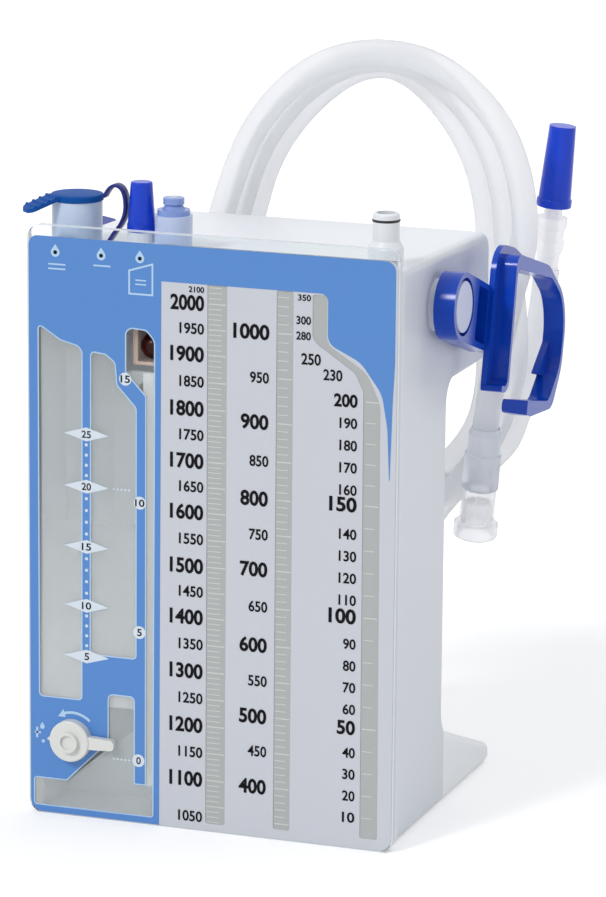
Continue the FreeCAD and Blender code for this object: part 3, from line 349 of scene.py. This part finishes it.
def both(tree, first, second):
    """The product of two masks."""
    return math_node(tree, "MULTIPLY", first, second)


def opposite(tree, mask):
    return math_node(tree, "SUBTRACT", 1.0, mask)


def patch(tree, place, across, upward):
    """1 in a rectangle of the front, given by its (low, high) in x and in z."""
    return both(tree, between(tree, place["X"], *across), between(tree, place["Z"], *upward))


def recolor(mat, *patches):
    """Adds coloured regions to a surface; each patch is (8-bit sRGB colour, mask)."""
    tree = mat.node_tree
    socket = tree.nodes["Principled BSDF"].inputs["Base Color"]
    base = socket.links[0].from_socket
    for color, mask in patches:
        mix = tree.nodes.new("ShaderNodeMix")
        mix.data_type = "RGBA"
        tree.links.new(mask, mix.inputs[0])
        tree.links.new(base, mix.inputs[6])
        mix.inputs[7].default_value = srgb(color)
        base = mix.outputs[2]
    tree.links.new(base, socket)


TOP_PORTS_Z = 255.6
SUCTION_STUB_X = (-82.0, -57.0)
VALVE_STUB_X = (-33.5, -16.0)
RIGHT_SIDE_X = 81.0
FOOT_Y = 4.0
FOOT_Z = 50.0
SUCTION_STUB_BLUE = (198, 213, 236)
VALVE_STUB_BLUE = (197, 210, 240)
# Painted shade: the right side of the casing is painted greyer than the white moulding, as the lamps leave
# it in shade
SIDE_PAINTED_SHADE = (222, 226, 233)
# Painted light: the foot, at the lower back of the right side, is painted whiter than the moulding
FOOT_PAINTED_LIGHT = (244, 247, 250)


def paint_casing(mat):
    """Bluish in the thin stubs of two ports; painted shade greys the right side, and painted light makes its
    foot whiter.
    """
    tree = mat.node_tree
    place = axes(tree)
    above = beyond(tree, place["Z"], TOP_PORTS_Z)
    suction = both(tree, above, between(tree, place["X"], *SUCTION_STUB_X))
    valve = both(tree, above, between(tree, place["X"], *VALVE_STUB_X))
    # Painted shade on the right side, below the ports
    side = both(tree, beyond(tree, place["X"], RIGHT_SIDE_X), opposite(tree, above))
    behind = math_node(tree, "SUBTRACT", beyond(tree, place["Y"], FOOT_Y), beyond(tree, place["Z"], FOOT_Z))
    # Painted light on the foot, the lower back of the right side
    foot = math_node(tree, "MAXIMUM", both(tree, side, behind), 0.0)
    recolor(mat, (SUCTION_STUB_BLUE, suction), (VALVE_STUB_BLUE, valve), (SIDE_PAINTED_SHADE, side),
            (FOOT_PAINTED_LIGHT, foot))


FILM_TOP_Z = 259.8
COLLECTION_X = (-22.9, 84.0)
INSIDE_RIM = ((-83.9, 83.9), (0.5, 264.5))
BALL_PATCH = ((-39.5, -25.5), (203.5, 260.0))
SEAL_PATCH = ((-31.0, -24.0), (18.0, 203.0))
TRAP_END_PATCH = ((-83.5, -78.5), (3.0, 17.0))
WATER_WINDOWS_X = (-83.5, -34.0)
WATER_WINDOWS_Z = 52.0
HAZE_MIDDLE_Z = 115.0
HAZE_SOFT = 45.0
COLLECTION_GREY = (184, 188, 187)
RIM_WHITE = (226, 232, 238)
# Share of the light that the plate lets through, and how its regions differ from that
PLATE_CLARITY = 0.8
CLEAR_MORE = 0.2
COLLECTION_LESS = -0.72
RIM_LESS = -0.7
SEAL_LESS = -0.3
LOW_LESS = -0.2
# The plate mostly fades away over the ball, so that the lamps reach it
BALL_FADE = 0.9


def paint_plate(mat):
    """Milky over the collection columns, clear over the water chambers and the ball, bright at the rim."""
    tree = mat.node_tree
    shader = tree.nodes["Principled BSDF"]
    place = axes(tree)
    above_film = beyond(tree, place["Z"], FILM_TOP_Z)
    collection = both(tree, between(tree, place["X"], *COLLECTION_X), opposite(tree, above_film))
    rim = opposite(tree, patch(tree, place, *INSIDE_RIM))
    recolor(mat, (COLLECTION_GREY, collection), (RIM_WHITE, rim))
    ball = patch(tree, place, *BALL_PATCH)
    clear = math_node(tree, "MAXIMUM", ball, above_film)
    seal = math_node(tree, "MAXIMUM", patch(tree, place, *SEAL_PATCH), patch(tree, place, *TRAP_END_PATCH))
    low = math_node(tree, "SUBTRACT", beyond(tree, place["Z"], WATER_WINDOWS_Z),
                    beyond(tree, place["Z"], HAZE_MIDDLE_Z, HAZE_SOFT))
    low = both(tree, low, between(tree, place["X"], *WATER_WINDOWS_X))
    clarity = PLATE_CLARITY
    for mask, change in ((clear, CLEAR_MORE), (collection, COLLECTION_LESS), (rim, RIM_LESS),
                         (seal, SEAL_LESS), (low, LOW_LESS)):
        clarity = math_node(tree, "ADD", clarity, math_node(tree, "MULTIPLY", mask, change))
    tree.links.new(clarity, shader.inputs["Transmission Weight"])
    tree.links.new(opposite(tree, math_node(tree, "MULTIPLY", ball, BALL_FADE)), shader.inputs["Alpha"])


LOOK = {name: surface(name, srgb(color), *values) for name, (color, *values) in LOOKS.items()}
paint_casing(LOOK["casing_white"])
paint_plate(LOOK["clear_plate"])


def dress(obj, look):
    if not obj.material_slots:
        obj.data.materials.append(LOOK[look])
    for slot in obj.material_slots:
        slot.material = LOOK[look]


PIECES_OF_LOOK = {
    "casing_white": ("body_shell",), "moulded_white": ("patient_port",),
    "pin_white_painted_shade": ("pivot_pin_right", "pivot_pin_left"), "clear_plate": ("front_plate",),
    "label_film": ("front_label",), "tap_white": ("tap_knob",), "seal_black": ("tap_seal", "port_ring"),
    "ball_red": ("float_ball",), "cage_clear": ("float_cage",), "lid_blue": ("suction_lid",),
    "strap_blue": ("lid_strap",), "cap_blue": ("vacuum_cap", "connector_cap"),
    "valve_blue": ("valve_body",), "stem_grey": ("valve_stem",),
    "hanger_blue": ("hanger_right", "hanger_left"), "cuff_clear": ("tube_cuff",),
    "connector_clear": ("unit_connector", "step_connector"),
}
for look, names in PIECES_OF_LOOK.items():
    for name in names:
        dress(NODES[name], look)
dress(patient_tube, "tube_clear")


# Flip lid: a domed disc with its plug, a bead at the hinge, and a ribbed paddle that leads forwards and down

PORT_Y = FRONT_Y + 20.0
LID_MIDDLE = Vector((-69.8, PORT_Y, 0.0))
# Radius and height, from the plug's foot up to the dome
LID_PROFILE = [(8.0, 271.2), (8.8, 273.05), (11.2, 273.05), (11.6, 273.4), (11.6, 275.3), (11.2, 275.9),
               (9.0, 276.15), (4.5, 276.25)]
LID_SIDES = 56
PADDLE_TURN = math.radians(45.0)
PADDLE_START = 7.5
PADDLE_END = 24.4
PADDLE_STEPS = 72
PADDLE_TOP_Z = 275.6
PADDLE_UNDER_Z = 273.9
PADDLE_HALF_W = 5.5
PADDLE_TIP = 0.18
PADDLE_TIP_ROUND = 0.8
PADDLE_BEND = 11.0
PADDLE_FALL = 4.8
RIBS_START = 11.5
RIBS_END_GAP = 0.6
RIB_W = 1.55
RIB_H = 0.75
BEAD_AT = (11.75, 275.9)
BEAD_R = 0.5
BEAD_HALF_L = 3.0
BEAD_SIDES = 12


def lid_disc():
    return [LID_MIDDLE + Vector((radius * math.cos(angle), radius * math.sin(angle), z))
            for radius, z in LID_PROFILE for angle in circle_angles(LID_SIDES)]


def lid_paddle():
    """Cross-sections of the paddle, from under the disc to the rounded tip."""
    forwards = Vector((-math.cos(PADDLE_TURN), -math.sin(PADDLE_TURN), 0.0))
    across = Vector((-forwards.y, forwards.x, 0.0))
    places = []
    for i in range(PADDLE_STEPS + 1):
        share = i / PADDLE_STEPS
        reach = PADDLE_START + (PADDLE_END - PADDLE_START) * share
        down = PADDLE_FALL * max(0.0, (reach - PADDLE_BEND) / (PADDLE_END - PADDLE_BEND))
        into_tip = max(0.0, (share - 1.0 + PADDLE_TIP) / PADDLE_TIP)
        half = PADDLE_HALF_W * math.sqrt(1.0 - PADDLE_TIP_ROUND * into_tip ** 2)
        rib = 0.0
        if RIBS_START < reach < PADDLE_END - RIBS_END_GAP:
            rib = RIB_H * max(0.0, math.sin(math.pi * (reach - RIBS_START) / RIB_W))
        top = PADDLE_TOP_Z - down + rib
        under = PADDLE_UNDER_Z - down
        for side, z in ((-1, top), (1, top), (1, under), (-1, under)):
            places.append(LID_MIDDLE + forwards * reach + across * half * side + Vector((0.0, 0.0, z)))
    return places


def hinge_bead():
    round_bead = [(BEAD_AT[0] + BEAD_R * math.cos(angle), BEAD_AT[1] + BEAD_R * math.sin(angle))
                  for angle in circle_angles(BEAD_SIDES)]
    return [LID_MIDDLE + Vector((x, y, z)) for y in (-BEAD_HALF_L, BEAD_HALF_L) for x, z in round_bead]


def flip_lid():
    places = []
    faces = []
    for part, around in ((lid_disc(), LID_SIDES), (lid_paddle(), 4), (hinge_bead(), BEAD_SIDES)):
        faces += skin(len(places), len(part) // around, around)
        places += part
    return mesh_object("flip_lid", places, faces)


lid = flip_lid()
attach(lid, "lid")
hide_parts("suction_lid")
dress(lid, "lid_blue")


# Lid strap: a flat band that arches from the lid's edge down to the port's foot

STRAP_LINE = [(-56.7, 275.2), (-54.8, 279.2), (-51.0, 281.2), (-47.4, 278.6), (-46.4, 271.0), (-48.2, 264.6),
              (-52.0, 259.8), (-54.6, 255.8)]
STRAP_W = 5.0
STRAP_T = 1.5
STRAP_EDGE_R = 0.35
SHARP_FROM = math.radians(40.0)


def band(name, points, width, thick):
    """Flat band along a smooth line that is led by (x, z) points."""
    guide = curve_data("guide", [Vector((x, PORT_Y, z)) for x, z in points], 0.0)
    line = read_mesh(guide, lambda mesh: [vertex.co / MM for vertex in mesh.vertices])
    deep = Vector((0.0, width / 2, 0.0))
    places = []
    for i, point in enumerate(line):
        run = (line[min(i + 1, len(line) - 1)] - line[max(i - 1, 0)]).normalized()
        out = Vector((run.z, 0.0, -run.x)) * thick / 2
        places += [point + a * out + b * deep for a, b in ((1, 1), (1, -1), (-1, -1), (-1, 1))]
    return mesh_object(name, places, skin(0, len(line), 4))


def soften(obj, width):
    """Rounded edges that catch the light."""
    edges = obj.modifiers.new("rounded_edges", "BEVEL")
    edges.width = width * MM
    edges.segments = 2
    edges.limit_method = "ANGLE"
    edges.angle_limit = SHARP_FROM
    for face in obj.data.polygons:
        face.use_smooth = True


strap = band("strap_band", STRAP_LINE, STRAP_W, STRAP_T)
soften(strap, STRAP_EDGE_R)
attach(strap, "unit")
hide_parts("lid_strap")
dress(strap, "strap_blue")


# Print: places on the front as (x, z) in millimetres. Layers that overlap lie in planes of their own

PLATE_FACE = FRONT_Y - 0.05
FILM_FACE = FRONT_Y - 0.35
ON_FILM = FRONT_Y - 0.4
ON_RIMS = FRONT_Y - 0.43
ON_MARKS = FRONT_Y - 0.46
ARC_STEPS = 6
BOLD_FROM = 5.5
BOLD = 0.03
PLAIN = 0.02
# A drop's round part, in degrees round its middle, and its tip's height as a share of the radius
DROP_FROM = 150
DROP_SWEEP = 240
DROP_STEPS = 16
DROP_TIP = 1.9


def outline(*spots):
    return [Vector(spot) for spot in spots]


def bar(x0, x1, z0, z1):
    return outline((x0, z0), (x1, z0), (x1, z1), (x0, z1))


def arc(x, z, radius, angles):
    return [Vector((x + radius * math.cos(angle), z + radius * math.sin(angle))) for angle in angles]


def disc(x, z, radius, sides=20):
    return arc(x, z, radius, circle_angles(sides))


def drop(x, z, size):
    """Water drop with its tip up."""
    angles = [math.radians(DROP_FROM + DROP_SWEEP * i / DROP_STEPS) for i in range(DROP_STEPS + 1)]
    return arc(x, z, size, angles) + [Vector((x, z + DROP_TIP * size))]


def rounded(corners):
    """Outline of a shape given by its corners as (x, z, corner radius)."""
    points = []
    for i, (x, z, radius) in enumerate(corners):
        corner = Vector((x, z))
        if radius <= 0:
            points.append(corner)
            continue
        before = (Vector(corners[i - 1][:2]) - corner).normalized()
        after = (Vector(corners[(i + 1) % len(corners)][:2]) - corner).normalized()
        half = before.angle(after) / 2
        centre = corner + (before + after).normalized() * radius / math.sin(half)
        start = corner + before * radius / math.tan(half) - centre
        end = corner + after * radius / math.tan(half) - centre
        turn = math.atan2(start.x * end.y - start.y * end.x, start.dot(end))
        first = math.atan2(start.y, start.x)
        angles = [first + turn * step / ARC_STEPS for step in range(ARC_STEPS + 1)]
        points += arc(centre.x, centre.y, radius, angles)
    return points


def grown(points, distance):
    """Outline moved outwards by a distance."""
    doubled_area = sum(a.x * b.y - b.x * a.y for a, b in zip(points, points[1:] + points[:1]))
    side = math.copysign(distance, doubled_area)
    moved = []
    for i, point in enumerate(points):
        run = (points[(i + 1) % len(points)] - points[i - 1]).normalized()
        moved.append(point + Vector((run.y, -run.x)) * side)
    return moved


def flat_faces(data):
    """Points and faces of a flat curve or text."""
    return read_mesh(data, lambda mesh: ([(vertex.co.x, vertex.co.y) for vertex in mesh.vertices],
                                         [tuple(face.vertices) for face in mesh.polygons]))


def field(*outlines):
    """Filled shape; an outline inside another one is a hole."""
    data = bpy.data.curves.new("print_outline", "CURVE")
    data.dimensions = "2D"
    data.fill_mode = "BOTH"
    for points in outlines:
        spline = data.splines.new("POLY")
        spline.points.add(len(points) - 1)
        for spot, point in zip(spline.points, points):
            spot.co = (point.x, point.y, 0.0, 1.0)
        spline.use_cyclic_u = True
    return flat_faces(data)


def figure(text, right_x, middle_z, width, height):
    """Printed number that ends at right_x."""
    data = bpy.data.curves.new("print_text", "FONT")
    data.body = text
    data.offset = BOLD if height > BOLD_FROM else PLAIN
    data.resolution_u = 4
    points, faces = flat_faces(data)
    xs = [x for x, z in points]
    zs = [z for x, z in points]
    across = width / (max(xs) - min(xs))
    upward = height / (max(zs) - min(zs))
    middle = (max(zs) + min(zs)) / 2
    points = [(right_x + (x - max(xs)) * across, middle_z + (z - middle) * upward) for x, z in points]
    return points, faces


def print_on(name, face_y, look, pieces):
    """One flat object of all the pieces, in the plane at face_y."""
    places = []
    faces = []
    for points, piece_faces in pieces:
        first = len(places)
        places += [Vector((x, face_y, z)) for x, z in points]
        faces += [tuple(first + v for v in face) for face in piece_faces]
    obj = mesh_object(name, places, faces)
    dress(obj, look)
    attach(obj, "unit")


# Outlines, each corner as (x, z, corner radius)
BLUE_FIELD = [(-84.2, 0.8, 5.7), (-23.2, 0.8, 0.0), (-22.6, 244.0, 0.0), (53.1, 244.0, 3.2),
              (53.1, 222.6, 6.0), (68.0, 215.6, 14.0), (77.6, 202.6, 16.0), (80.2, 188.0, 30.0),
              (81.25, 165.5, 0.0), (81.55, 165.5, 0.0), (82.5, 200.0, 30.0), (83.3, 216.0, 30.0),
              (83.3, 260.0, 4.4), (-84.2, 260.0, 4.0)]
SUCTION_WINDOW = [(-79.6, 54.2, 1.5), (-60.0, 54.2, 1.5), (-59.6, 210.5, 3.0), (-61.5, 212.6, 2.0),
                  (-69.5, 214.6, 3.0), (-79.6, 220.8, 1.0)]
ARM_WINDOW = [(-55.5, 75.4, 1.5), (-34.4, 75.4, 1.5), (-34.4, 187.4, 3.0), (-43.4, 196.9, 3.0),
              (-44.2, 206.6, 3.0), (-48.5, 209.8, 2.0), (-55.0, 210.6, 1.5)]
SEAL_WINDOW = [(-82.2, 4.2, 1.0), (-26.4, 4.2, 1.0), (-25.9, 192.5, 0.0), (-25.9, 217.5, 4.0),
               (-29.5, 221.8, 3.0), (-38.8, 222.4, 3.0), (-38.8, 203.0, 2.0), (-29.4, 193.0, 2.0),
               (-29.4, 18.0, 0.5), (-35.2, 18.0, 1.0), (-35.2, 57.6, 2.0), (-47.0, 57.6, 2.0),
               (-47.0, 36.0, 2.0), (-66.9, 16.2, 2.0), (-82.2, 16.2, 1.0)]
RIM_W = 0.55
windows = [rounded(corners) for corners in (SUCTION_WINDOW, ARM_WINDOW, SEAL_WINDOW)]
print_on("front_blue", FILM_FACE, "print_blue", [field(rounded(BLUE_FIELD), *windows)])
print_on("window_rims", ON_FILM, "print_pale", [field(grown(window, RIM_W), window) for window in windows])

# Suction scale between the first two windows: diamonds with numbers, and dots between them
SUCTION_X = -57.4
SUCTION_MARKS = [("25", SUCTION_X, 173.9), ("20", SUCTION_X, 150.6), ("15", SUCTION_X, 123.6),
                 ("10", SUCTION_X, 97.0), ("5", SUCTION_X, 74.0)]
DIAMOND_X = (-68.0, -46.8)
DIAMOND_HALF_H = 3.1
DOT_R = 0.72
DOT_SHARES = [0.2 + 0.195 * i for i in range(4)]
diamonds = [outline((DIAMOND_X[0], z), (x, z - DIAMOND_HALF_H), (DIAMOND_X[1], z), (x, z + DIAMOND_HALF_H))
            for text, x, z in SUCTION_MARKS]
print_on("suction_marks", ON_RIMS, "print_white", [field(diamond) for diamond in diamonds])
suction_heights = [z for text, x, z in SUCTION_MARKS]
print_on("suction_dots", ON_FILM, "print_white",
         [field(disc(SUCTION_X, high - (high - low) * share, DOT_R, 12))
          for high, low in zip(suction_heights, suction_heights[1:]) for share in DOT_SHARES])

# Water seal scale on the bar beside the narrow window, and two dotted levels
SEAL_MARKS = [("15", -39.2, 199.9), ("10", -32.4, 145.5), ("5", -32.6, 87.4), ("0", -33.0, 29.1)]
SEAL_DISC_R = 2.9
LEVEL_X = -44.6
LEVEL_PITCH = 1.8
LEVEL_DOTS = 5
LEVEL_DOT_R = 0.5
LEVEL_HEIGHTS = (28.7, 150.7)
print_on("seal_discs", ON_RIMS, "print_white", [field(disc(x, z, SEAL_DISC_R)) for text, x, z in SEAL_MARKS])
print_on("seal_levels", ON_FILM, "print_white",
         [field(disc(LEVEL_X + LEVEL_PITCH * i, z, LEVEL_DOT_R, 8))
          for z in LEVEL_HEIGHTS for i in range(LEVEL_DOTS)])

# Heights of the hundreds: 2000 to 1100 in the first collection column, 1000 to 400 in the second
HUNDREDS_1 = [235.7, 213.3, 189.4, 166.3, 143.7, 119.7, 96.8, 72.5, 48.1, 23.6]
HUNDREDS_2 = [225.3, 186.0, 152.4, 121.0, 87.3, 55.2, 23.4]
FIFTIES_2 = [205.5, 169.0, 136.5, 104.5, 71.2, 39.5]
BELOW_1100 = -10.4
# Numbers, each as (text, right edge, middle height, width, height)
column_1 = [(str(2000 - 100 * i), -3.0, z, 15.4, 6.9) for i, z in enumerate(HUNDREDS_1)]
column_1 += [(str(1950 - 100 * i), -3.0, (high + low) / 2, 11.2, 4.9)
             for i, (high, low) in enumerate(zip(HUNDREDS_1, HUNDREDS_1[1:] + [BELOW_1100]))]
column_1 += [("2100", -3.0, 241.6, 7.0, 2.6)]
column_2 = [("1000", 26.8, HUNDREDS_2[0], 16.4, 6.8)]
column_2 += [(str(900 - 100 * i), 26.6, z, 12.6, 6.8) for i, z in enumerate(HUNDREDS_2[1:])]
column_2 += [(str(950 - 100 * i), 26.7, z, 8.6, 4.9) for i, z in enumerate(FIFTIES_2)]
column_3 = [("350", 45.4, 241.7, 5.8, 2.7), ("300", 45.5, 231.9, 6.6, 3.6), ("280", 45.5, 225.2, 6.6, 3.6),
            ("250", 50.1, 215.3, 8.8, 5.0), ("230", 59.8, 209.2, 8.5, 4.9), ("200", 66.8, 198.7, 10.6, 5.8),
            ("150", 66.9, 153.4, 12.4, 6.6), ("100", 67.1, 104.1, 12.4, 6.8), ("50", 67.3, 54.6, 8.3, 6.5)]


# The tens of the narrow column, which drift to the right on the way down
TENS_TOP = 190
TENS_FALL = 180
TENS_RIGHT_X = 66.7
TENS_DRIFT = 0.8
TENS_TOP_Z = 188.9
TENS_PITCH = 0.97
TENS_WIDTHS = {2: 5.7, 3: 7.9}
TENS_H = 4.7
# Numbers in marks, by their count of digits: right edge from the mark's middle, and width
MARK_WIDTHS = {1: (1.2, 2.2), 2: (2.2, 4.4)}
MARK_NUMBER_H = 3.3


def small_number(value):
    text = str(value)
    below = TENS_TOP - value
    return (text, TENS_RIGHT_X + TENS_DRIFT * below / TENS_FALL, TENS_TOP_Z - TENS_PITCH * below,
            TENS_WIDTHS[len(text)], TENS_H)


def mark_number(text, x, z):
    right, width = MARK_WIDTHS[len(text)]
    return (text, x + right, z, width, MARK_NUMBER_H)


column_3 += [small_number(value) for value in range(TENS_TOP, 0, -10) if value % 50]
marks = [mark_number(*mark) for mark in SEAL_MARKS + SUCTION_MARKS]
print_on("numbers", ON_MARKS, "print_black",
         [figure(*number) for number in column_1 + column_2 + column_3 + marks])

# Volume lines every 10 ml: the column's left and right edge, and the heights of known volumes
TICK_STEP = 10
TICK_COLUMNS = [
    (-1.0, 7.0, [(2030, 242.8)] + [(2000 - 100 * i, z) for i, z in enumerate(HUNDREDS_1)] + [(1020, 4.7)]),
    (30.5, 37.1, [(1040, 241.0)] + [(1000 - 100 * i, z) for i, z in enumerate(HUNDREDS_2)] + [(350, 7.5)]),
    (70.4, 76.6, [(200, 198.7), (150, 153.4), (100, 104.1), (50, 54.6), (10, 14.5)]),
]
SHORTER_BY = 0.25
LONG_HALF_T = 0.3
SHORT_HALF_T = 0.22


def level(value, known):
    """Height of a value between the known (value, height) pairs."""
    for (high, high_z), (low, low_z) in zip(known, known[1:]):
        if low <= value <= high:
            return low_z + (high_z - low_z) * (value - low) / (high - low)


def ticks(left, right, known):
    """Lines across a column's window: the full width at fifties, shorter between."""
    lines = []
    for value in range(known[-1][0], known[0][0] + 1, TICK_STEP):
        z = level(value, known)
        full = value % 50 == 0
        end = right if full else right - SHORTER_BY * (right - left)
        half = LONG_HALF_T if full else SHORT_HALF_T
        lines.append(field(bar(left, end, z - half, z + half)))
    return lines


print_on("volume_ticks", PLATE_FACE, "tick_pale",
         [line for column in TICK_COLUMNS for line in ticks(*column)])

# Small signs on the blue band: three drops with bare lines below them, and a framed place
DROPS_X = (-71.7, -50.4, -32.5)
DROPS_Z = 253.2
DROP_SIZE = 1.7
DROP_RIM = 0.35
DROP_DOT_R = 0.9
DROP_LINES = ((-71.0, 247.6), (-71.0, 245.6), (-50.0, 248.4))
DROP_LINE_HALF_W = 4.0
DROP_LINE_T = 0.7
FRAME_OUTER = ((-37.8, 237.2), (-26.3, 237.2), (-26.3, 251.6), (-37.8, 248.0))
FRAME_INNER = ((-37.0, 238.0), (-27.1, 238.0), (-27.1, 250.5), (-37.0, 247.4))
FRAME_LINE_X = (-34.6, -29.6)
FRAME_LINES_Z = (243.4, 241.6)
FRAME_LINE_T = 0.6
signs = [field(grown(drop(x, DROPS_Z, DROP_SIZE), DROP_RIM)) for x in DROPS_X]
signs += [field(bar(x - DROP_LINE_HALF_W, x + DROP_LINE_HALF_W, z, z + DROP_LINE_T)) for x, z in DROP_LINES]
signs += [field(outline(*FRAME_OUTER), outline(*FRAME_INNER))]
signs += [field(bar(*FRAME_LINE_X, z, z + FRAME_LINE_T)) for z in FRAME_LINES_Z]

# Round the tap: an arrow that shows its turn, and a small sign of a cross with drops
TAP_X = -64.2
TAP_Z = 35.5
ARROW_R = (11.6, 12.8)
ARROW_HEAD = ((-71.1, 45.3), (-67.4, 45.4), (-68.5, 48.9))
ARROW_FROM = 48
ARROW_TO = 108
ARROW_STEP = 6
CROSS = (bar(-82.3, -79.2, 36.6, 37.5), bar(-81.6, -80.6, 34.6, 39.4))
CROSS_DROP = drop(-78.6, 39.8, 1.1)
CROSS_DOT = disc(-78.2, 33.2, 0.8, 10)
arrow_angles = [math.radians(angle) for angle in range(ARROW_FROM, ARROW_TO + 1, ARROW_STEP)]
arrow = (arc(TAP_X, TAP_Z, ARROW_R[1], arrow_angles)
         + arc(TAP_X, TAP_Z, ARROW_R[0], arrow_angles[::-1]))
signs += [field(shape) for shape in (arrow, outline(*ARROW_HEAD), *CROSS, CROSS_DROP, CROSS_DOT)]
print_on("front_signs", ON_FILM, "print_pale", signs)
print_on("drop_dots", ON_MARKS, "print_black", [field(disc(x, DROPS_Z, DROP_DOT_R, 12)) for x in DROPS_X])


# Floor, background and light

FLOOR_HALF = 6000.0
FLOOR_COLOR = (0.9, 0.9, 0.902, 1.0)
FLOOR_GLOW = 0.26
SKY_COLOR = (0.97, 0.98, 1.0, 1.0)
SKY_STRENGTH = 0.52
WHITE = (1.0, 1.0, 1.0, 1.0)


def seen_rays(tree):
    """1 for rays that the camera, a gloss or a clear piece sends."""
    rays = tree.nodes.new("ShaderNodeLightPath")
    direct = math_node(tree, "MAXIMUM", rays.outputs["Is Camera Ray"], rays.outputs["Is Glossy Ray"])
    return math_node(tree, "MAXIMUM", direct, rays.outputs["Is Transmission Ray"])


def lay_floor():
    """The floor looks white to the eye and keeps the shadow, without throwing more light on the object."""
    corners = [Vector((x, y, 0.0)) * FLOOR_HALF for x, y in ((-1, -1), (1, -1), (1, 1), (-1, 1))]
    floor = mesh_object("floor", corners, [(0, 1, 2, 3)])
    pale = surface("floor_pale", FLOOR_COLOR, rough=0.8, shift=0.004, grain=40.0, bump=0.0, streak=3.0,
                   sockets={})
    floor.data.materials.append(pale)
    tree = pale.node_tree
    shader = tree.nodes["Principled BSDF"]
    shader.inputs["Emission Color"].default_value = WHITE
    glow = math_node(tree, "MULTIPLY", seen_rays(tree), FLOOR_GLOW)
    tree.links.new(glow, shader.inputs["Emission Strength"])


def hang_sky():
    """A soft sky that lights the object, and plain white where it is seen."""
    world = bpy.data.worlds.new("studio")
    SCENE.world = world
    world.use_nodes = True
    tree = world.node_tree
    lighting = tree.nodes["Background"]
    lighting.inputs["Color"].default_value = SKY_COLOR
    lighting.inputs["Strength"].default_value = SKY_STRENGTH
    seen = tree.nodes.new("ShaderNodeBackground")
    seen.inputs["Color"].default_value = WHITE
    seen.inputs["Strength"].default_value = 1.0
    choose = tree.nodes.new("ShaderNodeMixShader")
    tree.links.new(seen_rays(tree), choose.inputs["Fac"])
    tree.links.new(lighting.outputs["Background"], choose.inputs[1])
    tree.links.new(seen.outputs["Background"], choose.inputs[2])
    tree.links.new(choose.outputs["Shader"], tree.nodes["World Output"].inputs["Surface"])


def sun(name, direction, spread, strength):
    """Distant soft lamp, so that the floor stays evenly lit. The direction points towards the lamp."""
    data = bpy.data.lights.new(name, "SUN")
    data.energy = strength
    data.angle = math.radians(spread)
    obj = bpy.data.objects.new(name, data)
    SCENE.collection.objects.link(obj)
    obj.rotation_euler = Vector(direction).to_track_quat("Z", "Y").to_euler()


lay_floor()
hang_sky()
sun("key", (-0.9, -1.9, 1.7), spread=14.0, strength=1.35)
sun("top", (0.25, 0.35, 1.0), spread=40.0, strength=0.6)
SCENE.view_settings.view_transform = "Standard"

bpy.context.view_layer.update()
